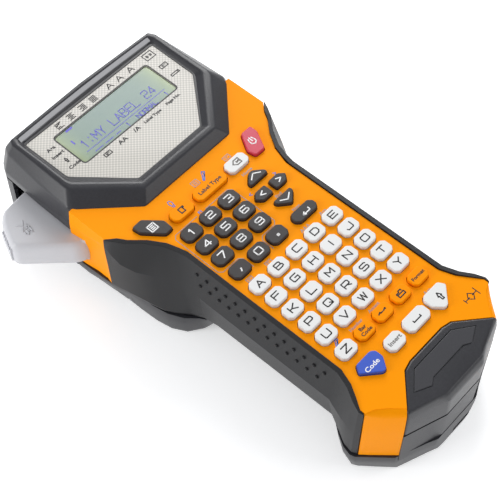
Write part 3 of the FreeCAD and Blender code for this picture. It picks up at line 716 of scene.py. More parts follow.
@dataclass
class Scribe:
    """Draws legends as slightly raised ink lines."""

    stroke: float = 0.5
    rise: float = 0.05
    thicken: float = 0.05
    overlap: float = 0.3
    type_size: float = 1.35

    def write(self, text: str | list[str], centre: Point, height: float, wide: float, z: float,
              finish: Finish, gap: float = 0.45) -> bpy.types.Object:
        """Draw one line of glyphs about a centre.

        Args:
            text: characters, or a list of glyph names.
            centre: the line's middle in plan.
            height: glyph height.
            wide: glyph width.
            z: height of the surface under it.
            finish: the ink.
            gap: space between glyphs.

        Returns:
            An unlinked helper object that holds the mesh.
        """
        curve = bpy.data.curves.new("legend", "CURVE")
        curve.dimensions = "3D"
        curve.bevel_depth = self.stroke / 2 * MM
        curve.bevel_resolution = 1
        curve.use_fill_caps = True
        total = len(text) * wide + (len(text) - 1) * gap
        for index, glyph in enumerate(text):
            left = centre[0] - total / 2 + index * (wide + gap)
            for stroke in filter(None, GLYPHS[glyph].split(",")):
                marks = [(int(m[0]) / GRID, int(m[1]) / GRID) for m in stroke.split()]
                places = [Vector((left + u * wide, centre[1] + (v - 0.5) * height)) for u, v in marks]
                for start, end in zip(places, places[1:]):
                    reach = (end - start).normalized() * self.stroke * self.overlap
                    spline = curve.splines.new("POLY")
                    spline.points.add(1)
                    spline.points[0].co = (*((start - reach) * MM), 0.0, 1.0)
                    spline.points[1].co = (*((end + reach) * MM), 0.0, 1.0)
        return self.flatten(curve, z, finish)

    def words(self, text: str, centre: Point, height: float, z: float, finish: Finish,
              stretch: float = 1.15) -> bpy.types.Object:
        """Draw a word in plain type about a centre.

        Args:
            text: the word; a line break starts a new line.
            centre: its middle in plan.
            height: height of its capitals, roughly.
            z: height of the surface under it.
            finish: the ink.
            stretch: its width over that of the plain type.

        Returns:
            An unlinked helper object that holds the mesh.
        """
        curve = bpy.data.curves.new("word", "FONT")
        curve.body = text
        curve.size = height * self.type_size * MM
        curve.align_x = "CENTER"
        curve.align_y = "CENTER"
        curve.extrude = self.rise * MM / 2
        curve.resolution_u = 3
        curve.offset = self.thicken * MM
        helper = bpy.data.objects.new("word", curve)
        helper.location = (centre[0] * MM, centre[1] * MM, (z + self.rise / 2) * MM)
        helper.scale = (stretch, 1.0, 1.0)
        return self._to_mesh(helper, finish)

    def flatten(self, curve: bpy.types.Curve, z: float, finish: Finish) -> bpy.types.Object:
        """Turn round lines into a low ridge of ink.

        Args:
            curve: the lines, at height zero.
            z: height of the surface under them.
            finish: the ink.

        Returns:
            An unlinked helper object that holds the mesh.
        """
        helper = bpy.data.objects.new("legend", curve)
        helper.scale = (1.0, 1.0, 2 * self.rise / self.stroke)
        helper.location = (0.0, 0.0, z * MM)
        return self._to_mesh(helper, finish)

    @staticmethod
    def _to_mesh(helper: bpy.types.Object, finish: Finish) -> bpy.types.Object:
        """Turn a curve into a mesh in the row frame.

        Args:
            helper: the curve's object, which is used up.
            finish: the ink.

        Returns:
            An unlinked helper object that holds the mesh.
        """
        bpy.context.scene.collection.objects.link(helper)
        bpy.context.view_layer.update()
        matrix = helper.matrix_world.copy()
        mesh = baked(helper)
        mesh.transform(matrix)
        result = bpy.data.objects.new("ink", mesh)
        PAINT.dress(result, finish)
        return result


def join_inks(inks: list[bpy.types.Object], name: str, body: str) -> bpy.types.Object:
    """Join legends of any inks into one piece that rides on a body.

    Args:
        inks: unlinked helpers, which are used up.
        name: the piece's name.
        body: the body it moves with.

    Returns:
        The new object.
    """
    whole = bmesh.new()
    materials: list[bpy.types.Material] = []
    for ink in inks:
        material = ink.data.materials[0]
        if material not in materials:
            materials.append(material)
        place = materials.index(material)
        for polygon in ink.data.polygons:
            polygon.material_index = place
        whole.from_mesh(ink.data)
        mesh = ink.data
        bpy.data.objects.remove(ink)
        bpy.data.meshes.remove(mesh)
    mesh = closed_up(whole, name)
    for material in materials:
        mesh.materials.append(material)
    piece = linked(name, mesh)
    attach(piece, body)
    return piece


# ------------------------------------------------------------------ keypad
class KeyKind(Enum):
    """A key's plastic, its legend's ink and a slot name."""

    WHITE = (Finish.WHITE_KEY, Finish.DARK_INK, "white_keys")
    WHITE_GREY = (Finish.WHITE_KEY, Finish.GREY_INK, "white_keys")
    ORANGE = (Finish.ORANGE_KEY, Finish.DARK_INK, "orange_keys")
    DARK = (Finish.DARK_KEY, Finish.WHITE_INK, "dark_keys")
    RED = (Finish.RED_KEY, Finish.WHITE_INK, "red_key")
    BLUE = (Finish.BLUE_KEY, Finish.WHITE_INK, "blue_key")


def chamfered(wide: float, deep: float, cut: float) -> Outline:
    """A rectangle with its corners cut off.

    Args:
        wide: its size along x.
        deep: its size along y.
        cut: how much of each side a corner takes.

    Returns:
        Eight points about the middle.
    """
    a, b = wide / 2, deep / 2
    return [(a - cut, -b), (a, cut - b), (a, b - cut), (a - cut, b),
            (cut - a, b), (-a, b - cut), (-a, cut - b), (cut - a, -b)]


@dataclass
class Keycaps:
    """Every key, with its legend."""

    root_z: float = 54.2
    flange: float = 0.8
    round_chamfered: float = 0.55
    round_plain: float = 1.0
    round_hole: float = 0.8
    hole_gap: float = 0.35
    hole_below: float = 6.0
    hole_above: float = 1.0
    # inset and depth below the top of each ring round a cap's upper edge
    crown: tuple = ((0.0, 0.5), (0.05, 0.3), (0.17, 0.12), (0.33, 0.03), (0.5, 0.0))
    scribe: Scribe = field(default_factory=lambda: Scribe(stroke=0.68, rise=0.07))
    places: list[tuple[Outline, Point]] = field(default_factory=list)

    def __post_init__(self) -> None:
        """Take the caps' height from the frame."""
        self.top = low_high("keys_1")[1].z

    def cap(self, outline: Outline, centre: Point) -> bmesh.types.BMesh:
        """One cap over an outline.

        Args:
            outline: its plan about its centre; one with chamfers has eight points.
            centre: where it stands.

        Returns:
            The cap, under construction.
        """
        radius = self.round_chamfered if len(outline) == 8 else self.round_plain
        profile = [(0.0, self.root_z)] + [(amount, self.top - drop) for amount, drop in self.crown]
        return puck(rounded(outline, radius, 3), profile, centre)

    def holes(self) -> bmesh.types.BMesh:
        """Prisms through the panel, one for each key."""
        profile = [(-self.hole_gap, self.top - self.hole_below), (-self.hole_gap, self.top + self.hole_above)]
        return gathered([puck(outline, profile, centre) for outline, centre in self.places])

    def build_row(self, node: str, legends: list[str], outline: Outline, kind: KeyKind, size: Point) -> None:
        """Replace one key node with caps and legends.

        Args:
            node: the CAD node, which is a body too.
            legends: one glyph or word per key, from left to right.
            outline: a cap's plan about its centre.
            kind: plastic, ink and slot.
            size: glyph height and width.
        """
        plastic, ink, slot = kind.value
        low, high = low_high(node)
        left, right = min(x for x, _ in outline), max(x for x, _ in outline)
        front, back = min(y for _, y in outline), max(y for _, y in outline)
        span = right - left
        middle_x = (right + left) / 2
        middle_y = (back + front) / 2
        first = low.x + self.flange + span / 2 - middle_x
        gaps = len(legends) - 1
        pitch = (high.x - low.x - 2 * self.flange - span) / gaps if gaps else 0.0
        y = (low.y + high.y) / 2 - middle_y
        caps = []
        inks = []
        for index, legend in enumerate(legends):
            x = first + index * pitch
            caps.append(self.cap(outline, (x, y)))
            self.places.append((rounded(outline, self.round_hole, 2), (x, y)))
            middle = (x + middle_x, y + middle_y)
            if legend in GLYPHS:
                inks.append(self.scribe.write([legend], middle, size[0], size[1], self.top, ink))
            else:
                inks.append(self.scribe.words(legend, middle, size[0], self.top, ink))
        helper = helper_of(gathered(caps), node)
        finish_piece(node + "_caps", settled(helper, 32.0), plastic, node, (node,))
        join_inks(inks, node + "_legend", node)

    def build(self) -> None:
        """Build all keys."""
        white, orange, dark = KeyKind.WHITE, KeyKind.ORANGE, KeyKind.DARK
        letter = chamfered(10.4, 7.9, 1.8)
        digit = chamfered(10.8, 8.0, 1.8)
        slim = chamfered(10.4, 7.3, 1.8)
        for row, word in enumerate(("ABCDE", "FGHIJ", "KLMNO", "PQRST", "UVWXY"), start=1):
            self.build_row("keys_%d" % row, list(word), letter, white, (3.3, 3.9))
        for row, word in enumerate(("123", "456", "789", ",0."), start=1):
            self.build_row("digits_%d" % row, list(word), digit, dark, (3.5, 3.8))
        singles = (
            ("z", "Z", white, (3.3, 3.9), letter),
            ("bar_code", "Bar\nCode", orange, (1.9, 3.0), slim),
            ("symbols", "stars", orange, (2.2, 5.5), slim),
            ("file", "file", orange, (3.0, 4.0), slim),
            ("format", "Format", orange, (1.8, 3.0), slim),
            ("feed", "cut", orange, (3.0, 3.2), chamfered(13.6, 7.4, 2.0)),
            ("tape", "Label Type", orange, (2.2, 3.0), chamfered(20.6, 7.4, 2.0)),
            ("delete", "delete", KeyKind.WHITE_GREY, (3.2, 4.6), chamfered(13.4, 7.4, 1.8)),
            ("print", "page", dark, (4.0, 4.0),
             [(-6.7, 7.2), (-6.2, 2.2), (1.6, -7.4), (6.4, -7.2), (6.7, -1.2), (-0.6, 7.4)]),
            ("power", "power", KeyKind.RED, (4.2, 4.2),
             [(6.2, 7.2), (6.2, 2.4), (0.9, -7.4), (-5.4, -7.2), (-6.3, -2.2), (-0.6, 7.2)]),
            ("up", "^", dark, (3.6, 6.6),
             [(-6.0, -3.2), (6.0, -3.2), (6.0, -1.0), (1.2, 3.2), (-1.2, 3.2), (-6.0, -1.0)]),
            ("down", "v", dark, (3.6, 6.6),
             [(-6.0, 3.4), (-6.0, 1.2), (-0.6, -3.4), (0.6, -3.4), (6.0, 1.2), (6.0, 3.4)]),
            ("left", "<", dark, (5.0, 5.0),
             [(-4.8, -0.2), (-4.8, 0.4), (-2.2, 3.1), (4.6, 3.1), (4.6, -3.1), (-2.2, -3.1)]),
            ("right", ">", dark, (5.0, 5.0),
             [(4.8, -0.2), (4.8, 0.4), (2.2, 3.1), (-4.6, 3.1), (-4.6, -3.1), (2.2, -3.1)]),
            ("enter", "enter", dark, (4.2, 5.4), chamfered(15.4, 6.6, 2.0)),
            ("code", "Code", KeyKind.BLUE, (2.5, 3.0),
             [(-7.2, 0.3), (-4.6, 4.2), (5.0, 4.2), (7.0, 2.4), (7.0, -1.8), (3.0, -7.0), (1.0, -7.0)]),
            ("insert", "Insert", KeyKind.WHITE_GREY, (2.2, 3.0), chamfered(10.6, 7.8, 2.0)),
            ("space", "space", white, (3.4, 4.8), chamfered(15.0, 8.0, 2.0)),
            ("shift", "shift", white, (4.2, 4.6),
             [(7.2, 0.6), (5.2, 4.2), (-5.2, 4.2), (-7.0, 2.4), (-7.0, -2.4), (-3.0, -7.0), (-1.0, -7.0)]),
        )
        for name, legend, kind, size, outline in singles:
            self.build_row("key_" + name, [legend], outline, kind, size)


# ------------------------------------------------------------------ casing
def loft(rows: list[list[Place]], ring: bool = False) -> bmesh.types.BMesh:
    """A closed solid through equal rows of points.

    Args:
        rows: cross-sections in millimetres, each a closed loop.
        ring: join the last row to the first, instead of capping both.

    Returns:
        The mesh under construction, in metres.
    """
    bm = bmesh.new()
    made = [[bm.verts.new(Vector(point) * MM) for point in row] for row in rows]
    pairs = list(zip(made, made[1:])) + ([(made[-1], made[0])] if ring else [])
    for low, high in pairs:
        quads(bm, low, high)
    if not ring:
        bm.faces.new(list(reversed(made[0])))
        bm.faces.new(made[-1])
    return outward(bm)


def disc(centre: Point, radius: float, low: float, high: float, sides: int = 24) -> bmesh.types.BMesh:
    """A round solid between two heights.

    Args:
        centre: its middle in plan.
        radius: its radius.
        low: its underside.
        high: its top.
        sides: flats round it.

    Returns:
        The solid, under construction.
    """
    turns = [2 * math.pi * step / sides for step in range(sides)]
    return slab([(radius * math.cos(turn), radius * math.sin(turn)) for turn in turns], low, high, centre)


def helper_of(bm: bmesh.types.BMesh, name: str) -> bpy.types.Object:
    """Put a mesh under construction into a temporary object."""
    return linked(name, closed_up(bm, name))


def combine(base: bpy.types.Object, tool: bmesh.types.BMesh, operation: str) -> bpy.types.Object:
    """Add a solid to a helper object, or take one away from it.

    Args:
        base: the helper, which is used up.
        tool: the solid, which is used up.
        operation: UNION, DIFFERENCE or INTERSECT.

    Returns:
        A new helper of the same name.
    """
    cutter = helper_of(tool, "tool")
    modifier = base.modifiers.new("combine", "BOOLEAN")
    modifier.operation = operation
    modifier.solver = "EXACT"
    modifier.object = cutter
    name = base.name
    mesh = baked(base)
    bpy.data.objects.remove(cutter)
    return linked(name, mesh)


def bevelled(helper: bpy.types.Object, width_mm: float, angle: float = 20.0) -> bpy.types.Object:
    """Round a helper's sharp edges.

    Args:
        helper: the helper, which is used up.
        width_mm: how wide each rounding is.
        angle: edges sharper than this, in degrees, are rounded.

    Returns:
        A new helper of the same name.
    """
    bevel = helper.modifiers.new("round", "BEVEL")
    bevel.width = width_mm * MM
    bevel.segments = 3
    bevel.limit_method = "ANGLE"
    bevel.angle_limit = math.radians(angle)
    name = helper.name
    return linked(name, baked(helper))


def settled(helper: bpy.types.Object, angle: float = 40.0) -> bpy.types.Mesh:
    """Shade a helper with normals that follow its large faces.

    Args:
        helper: the helper, which is used up.
        angle: edges sharper than this, in degrees, stay sharp.

    Returns:
        Its finished mesh.
    """
    smooth(helper.data, angle)
    weights = helper.modifiers.new("weights", "WEIGHTED_NORMAL")
    weights.keep_sharp = True
    weights.weight = 80
    return baked(helper)


def flipped(rows: list[list[Place]], side: int) -> list[list[Place]]:
    """Mirror rows to the left side when side is -1."""
    return [[(side * x, y, z) for x, y, z in row] for row in rows]


def both_sides(half: list[Place]) -> list[Place]:
    """Close a half ring given from the front round the right side to the back."""
    return half + [(-x, y, z) for x, y, z in reversed(half) if abs(x) > 0.01]


@dataclass
class FrontShell:
    """Orange keypad deck with its shoulders and the two bands down the tail's corners."""

    top: float = 58.5
    wall: float = 2.2
    skirt: float = 18.15
    round_mm: float = 1.1
    band_drop: float = 0.02
    # y, ridge z, ridge x, foot x, depth of the scoop
    shoulder_stations: tuple = (
        (-17.9, 54.0, 57.4, 56.0, 0.0), (-14.0, 53.0, 57.5, 56.2, 1.8), (-7.0, 51.5, 57.7, 56.5, 2.1),
        (-1.0, 50.6, 57.8, 56.6, 0.9), (6.0, 49.0, 57.8, 56.8, 0.0))
    # x, y of the tail's edge, the way out of it, and how far it is rounded
    tail_edge: tuple = ((45.4, -167.6, 0.64, -0.55, 1.3), (42.4, -171.1, 0.76, -0.65, 3.4),
                        (39.4, -174.6, 0.76, -0.65, 4.2), (33.2, -181.6, 0.72, -0.7, 3.4))

    def deck(self) -> bmesh.types.BMesh:
        """The flat keypad panel.

        Returns:
            The panel without its holes, under construction.
        """
        right = [(56.7, 6.0), (56.7, -18.0), (52.25, -22.6), (49.55, -27.1), (38.35, -42.1), (36.35, -48.5),
                 (35.25, -52.0), (35.25, -146.0), (38.05, -154.0), (45.2, -165.0), (45.2, -167.4),
                 (40.6, -169.5), (37.1, -172.65), (31.0, -179.5), (16.9, -167.0), (11.4, -165.7)]
        return slab(mirrored(right), self.top - self.wall, self.top)

    def shoulder(self, side: int) -> bmesh.types.BMesh:
        """Side wall beside the display, scooped in below its top edge.

        Args:
            side: 1 for the right, -1 for the left.

        Returns:
            The wall, under construction.
        """
        rows = []
        for y, ridge_z, ridge, foot, scoop in self.shoulder_stations:
            rows.append([(48.0, y, self.top), (56.7, y, self.top), (ridge, y, ridge_z),
                         (ridge - scoop, y, ridge_z - 6.0), (foot - scoop * 0.6, y, self.skirt),
                         (foot - 3.8, y, self.skirt), (ridge - 4.2, y, ridge_z - 2.0),
                         (ridge - 5.0, y, self.top - self.wall), (48.0, y, self.top - self.wall)])
        return loft(flipped(rows, side))

    @staticmethod
    def at(edge: tuple, depth: float, z: float) -> Place:
        """A point in from the tail's edge."""
        return (edge[0] - edge[2] * depth, edge[1] - edge[3] * depth, z)

    def band(self, side: int) -> bmesh.types.BMesh:
        """Wall down one corner of the tail.

        Args:
            side: 1 for the right, -1 for the left.

        Returns:
            The wall, under construction.
        """
        rows = []
        top = self.top - self.band_drop
        for edge in self.tail_edge:
            r = edge[4]
            rows.append([self.at(edge, depth, z) for depth, z in (
                (6.5, top), (r, top), (0.62 * r, top - 0.08 * r), (0.3 * r, top - 0.3 * r),
                (0.08 * r, top - 0.62 * r), (-0.1, top - r), (-0.7, 46.0), (-0.9, 38.0), (-0.6, self.skirt),
                (1.8, self.skirt), (1.6, 38.0), (3.6, 54.0), (6.5, 56.3))])
        return loft(flipped(rows, side))

    def build(self, holes: bmesh.types.BMesh) -> None:
        """Join, round and pierce the shell.

        Args:
            holes: prisms where the keys come through, which are used up.
        """
        shell = helper_of(self.deck(), "front_shell_deck")
        for side in (1, -1):
            shell = combine(shell, self.shoulder(side), "UNION")
        shell = bevelled(shell, self.round_mm)
        for side, name in ((1, "right"), (-1, "left")):
            band = settled(helper_of(self.band(side), "band"), 50.0)
            finish_piece("front_shell_band_" + name, band, Finish.ORANGE, "casing")
        shell = combine(shell, holes, "DIFFERENCE")
        finish_piece("front_shell_moulding", settled(shell), Finish.ORANGE, "casing",
                     ("front_shell",))


@dataclass
class Grips:
    """Soft side grips with a scooped facet and two rows of small bumps."""

    skirt: float = 18.15
    round_mm: float = 1.3
    bump_mm: float = 1.0
    bump_pitch: float = 6.0
    bump_rows: Point = (0.30, 0.58)
    bump_start: float = -62.0
    bump_end: float = -142.0
    # x and z of the facet's upper and lower edges, where the bumps stand
    facet_top: Point = (38.2, 59.1)
    facet_foot: Point = (42.4, 39.6)
    # y, panel edge x, ridge x and z, lower edge x and z
    stations: tuple = (
        (-18.15, 56.9, 57.7, 54.0, 56.6, 20.0), (-22.5, 52.4, 57.3, 49.5, 56.0, 20.0),
        (-27.0, 49.7, 56.3, 45.0, 54.9, 20.0), (-34.0, 43.4, 53.6, 42.6, 53.6, 20.0),
        (-42.0, 38.5, 48.8, 41.6, 52.0, 20.0), (-48.5, 36.5, 45.2, 41.8, 50.4, 20.0),
        (-54.0, 35.4, 43.0, 41.4, 47.6, 20.0), (-60.0, 35.4, 42.5, 40.4, 43.4, 20.0),
        (-66.0, 35.4, 42.4, 39.8, 40.4, 20.0), (-74.0, 35.4, 42.4, 39.5, 39.3, 20.0),
        (-110.0, 35.4, 42.4, 39.7, 39.0, 20.0), (-146.0, 35.4, 42.4, 40.0, 38.8, 20.0),
        (-154.0, 38.2, 45.3, 39.5, 43.2, 20.0), (-160.0, 41.8, 47.0, 39.0, 46.6, 20.0),
        (-165.0, 45.2, 47.6, 38.0, 47.6, 20.0), (-167.5, 45.6, 46.4, 38.0, 46.4, 20.0))

    def profile(self, y: float, edge: float, ridge: float, ridge_z: float, low: float,
                low_z: float) -> list[Place]:
        """One cross-section, from the panel over the ridge and back inside.

        Args:
            y: where it stands.
            edge: the panel's edge.
            ridge: x of the ridge.
            ridge_z: height of the ridge.
            low: x of the lower edge.
            low_z: height of the lower edge.

        Returns:
            A closed loop.
        """
        lip = min(2.6, (ridge - edge) * 0.55)
        rise = min(0.9, 0.3 * lip)
        return [(edge + 0.15, y, 55.0), (edge + 0.15, y, 58.6 + rise), (edge + 0.15 + lip, y, 58.3 + rise),
                (ridge, y, ridge_z), (low, y, low_z), (low - 0.6, y, self.skirt), (low - 3.2, y, self.skirt),
                (low - 3.0, y, low_z), (ridge - 4.0, y, ridge_z - 2.0)]

    def bumps(self, side: int) -> list[bmesh.types.BMesh]:
        """Small domes in two staggered rows on the upper facet.

        Args:
            side: 1 for the right, -1 for the left.

        Returns:
            The domes, under construction.
        """
        made = []
        (top_x, top_z), (foot_x, foot_z) = self.facet_top, self.facet_foot
        for row, share in enumerate(self.bump_rows):
            y = self.bump_start - row * self.bump_pitch / 2
            while y > self.bump_end:
                x = top_x + (foot_x - top_x) * share
                z = top_z + (foot_z - top_z) * share
                dome = bmesh.new()
                bmesh.ops.create_icosphere(dome, subdivisions=2, radius=self.bump_mm * MM)
                for vert in dome.verts:
                    vert.co = vert.co + Vector((side * x, y, z)) * MM
                made.append(dome)
                y -= self.bump_pitch
        return made

    def build(self) -> None:
        """Build both grips."""
        for side, node in ((1, "right_grip"), (-1, "left_grip")):
            rows = flipped([self.profile(*station) for station in self.stations], side)
            body = settled(bevelled(helper_of(loft(rows), node), self.round_mm), 50.0)
            name = node + "_moulding"
            mesh = closed_up(gathered([reopened(body)] + self.bumps(side)), name)
            finish_piece(name, smooth(mesh, 50.0), Finish.GRIP, "casing", (node,))


@dataclass
class Hood:
    """Raised frame round the display."""

    round_mm: float = 1.5
    foot: float = 42.65
    # x of the stations of the light grey strip, a painted highlight on the hood's inner back slope, and how
    # far each bends forwards
    highlight_stations: tuple = ((-45.4, 1.1), (-44.4, 0.8), (-22.0, 0.25), (0.0, 0.0), (22.0, 0.25), (44.4, 0.8),
                             (45.4, 1.1))

    def rings(self) -> list[list[Place]]:
        """Cross the hood from its outer foot over the crest to its inner foot.

        Returns:
            Closed rings round the display.
        """
        low = [52.0] * 2 + [self.foot] * 5
        sill = [(20.6, -4.2), (41.2, 20.4), (41.4, 23.0), (41.6, 34.0), (41.7, 43.4), (41.6, 46.0),
                (0.0, 46.0)]
        # the heights of each ring's points, and their places in plan
        crossing = (
            (low, [(30.0, -19.4), (53.4, 4.0), (57.5, 6.2), (57.3, 30.0), (56.4, 54.5), (53.3, 59.8),
                   (0.0, 60.9)]),
            ([55.2, 55.2, 50.5, 47.5, 47.0, 47.0, 47.0],
             [(30.0, -19.45), (53.5, 4.0), (57.9, 6.3), (57.5, 30.0), (56.3, 54.5), (53.0, 59.7),
              (0.0, 60.8)]),
            ([58.6] * 7,
             [(30.0, -19.5), (53.5, 4.0), (56.0, 8.4), (55.0, 30.0), (53.0, 53.6), (50.6, 58.2),
              (0.0, 59.6)]),
            ([64.0] * 7,
             [(24.9, -14.4), (49.2, 11.2), (50.2, 14.6), (50.0, 34.0), (50.0, 52.0), (48.2, 55.6),
              (0.0, 57.0)]),
            ([64.4] * 7,
             [(23.5, -11.1), (46.8, 14.0), (47.5, 16.8), (47.4, 34.0), (47.6, 51.0), (46.3, 53.9),
              (0.0, 55.0)]),
            ([62.1] * 4 + [62.2] * 3,
             [(21.95, -7.3), (44.1, 17.9), (44.6, 20.4), (44.8, 34.0), (45.0, 48.5), (43.4, 51.2),
              (0.0, 51.6)]),
            ([60.0] * 7,
             [(21.9, -7.2), (44.2, 18.9), (44.5, 21.4), (44.9, 34.0), (45.0, 46.6), (44.9, 49.2),
              (0.0, 49.2)]),
            ([60.0] * 7, sill),
            ([57.0] * 7, sill),
            (low, [(27.0, -14.5), (50.4, 7.6), (54.6, 10.0), (54.4, 30.0), (53.6, 52.6), (51.2, 56.8),
                   (0.0, 58.0)]),
        )
        halves = [[(x, y, z) for (x, y), z in zip(plan, heights)] for heights, plan in crossing]
        return [both_sides(half) for half in halves]

    def build(self) -> None:
        """Build the frame."""
        hood = bevelled(helper_of(loft(self.rings(), ring=True), "head_bezel"), self.round_mm, 14.0)
        finish_piece("head_bezel_moulding", settled(hood, 50.0), Finish.DARK, "casing",
                     ("head_bezel",))
        # a thin light grey sheet over the hood's inner back slope: a painted highlight, not a part of its own
        rows = [[(x, 52.0 - drop, 63.1), (x, 53.9 - drop, 64.35), (x, 53.9 - drop, 62.6),
                 (x, 52.0 - drop, 61.4)] for x, drop in self.highlight_stations]
        highlight_sheet = settled(helper_of(loft(rows), "back_slope_painted_highlight"), 50.0)
        finish_piece("head_bezel_painted_highlight_band", highlight_sheet, Finish.STRIP, "casing")


@dataclass
class EndCap:
    """Faceted cap over the tail with an arched inlay."""

    round_mm: float = 1.3
    seam: float = 38.2
    groove: float = 0.35

    def build(self) -> None:
        """Build the cap and its blank inlay."""
        shared = [(11.6, -165.9), (17.1, -167.2), (31.55, -179.8)]
        halves = []
        for height, outer in ((self.seam, [(33.9, -182.5, self.seam), (19.5, -187.6, self.seam),
                                           (12.0, -190.3, self.seam)]),
                              (52.5, [(33.7, -182.3, 52.5), (18.6, -187.3, 52.5), (12.4, -190.1, 52.5)]),
                              (58.6, [(33.0, -181.5, 58.6), (17.8, -186.4, 57.8), (13.4, -188.4, 56.6)])):
            halves.append([(x, y, height) for x, y in shared] + outer)
        cap = bevelled(helper_of(loft([both_sides(half) for half in halves]), "end_cap"), self.round_mm)
        cap = combine(cap, slab(self.inlay_plan(self.groove), 57.9, 60.0), "DIFFERENCE")
        finish_piece("end_cap_moulding", settled(cap), Finish.DARK, "casing", ("end_cap",))
        plate = puck(self.inlay_plan(0.0), [(0.0, 57.5), (0.0, 58.35), (0.3, 58.5)])
        finish_piece("badge_plate_inlay", settled(helper_of(plate, "badge"), 25.0), Finish.BADGE, "casing",
                     ("badge_plate",))

    @staticmethod
    def inlay_plan(grow: float) -> Outline:
        """The arched inlay seen from above.

        Args:
            grow: how far it is widened.

        Returns:
            Its outline.
        """
        right = [(10.8, -178.6 - grow), (14.6 + grow / 2, -180.8 - grow), (22.6 + 1.4 * grow, -177.0),
                 (13.3 + grow / 2, -170.0 + grow)]
        return mirrored(right)


@dataclass
class Lever:
    """Light push lever with ribs along its free end."""

    low: float = 25.0
    high: float = 41.5
    ribs: int = 7
    rib_start: Point = (-83.2, 22.4)
    rib_end: Point = (-77.6, 35.0)
    pivot: Point = (-53.4, 0.5)
    pin: float = 1.7
    inner_edge: float = -55.6

    def build(self) -> None:
        """Build the lever."""
        plan = [(-46.0, 45.0), (-72.0, 42.5), (-77.5, 36.0), (-84.0, 21.5), (-62.0, -1.5), (-57.2, -3.6),
                (-46.0, -3.6)]
        profile = [(2.0, self.low), (0.3, self.low + 2.0), (0.0, self.low + 6.0), (0.2, 36.0), (0.9, 38.9),
                   (2.0, 40.5), (3.4, self.high)]
        helper = helper_of(puck(rounded(plan, 4.0), profile), "lever")
        helper = combine(helper, slab(oblong(self.inner_edge, -20.0, -30.0, 60.0), 10.0, 60.0), "DIFFERENCE")
        reach = low_high("cutter_lever")[1].x - self.pivot[0]
        helper = combine(helper, disc(self.pivot, reach, self.low, self.high), "UNION")
        helper = combine(helper, disc(self.pivot, self.pin, 10.0, 60.0), "DIFFERENCE")
        for rib in self.rib_solids():
            helper = combine(helper, rib, "UNION")
        finish_piece("cutter_lever_moulding", settled(helper, 50.0), Finish.LEVER, "cutter_lever",
                     ("cutter_lever",))
        scribe = Scribe(stroke=0.8, rise=0.35)
        mark = scribe.write(["scissors"], (-70.5, 25.0), 8.6, 6.4, self.high, Finish.LEVER)
        join_inks([mark], "cutter_lever_mark", "cutter_lever")

    def rib_solids(self) -> list[bmesh.types.BMesh]:
        """Ribs along the free edge.

        Returns:
            The ribs, under construction.
        """
        made = []
        start, end = Vector(self.rib_start), Vector(self.rib_end)
        for index in range(self.ribs):
            x, y = start.lerp(end, (index + 0.5) / self.ribs)
            plan = [(x - 0.9, y - 0.4), (x + 1.6, y - 1.0), (x + 1.6, y + 0.5), (x - 0.9, y + 0.6)]
            made.append(puck(plan, [(0.3, self.low + 3.0), (0.0, self.low + 4.0), (0.0, 36.5), (0.3, 37.5)]))
        return made


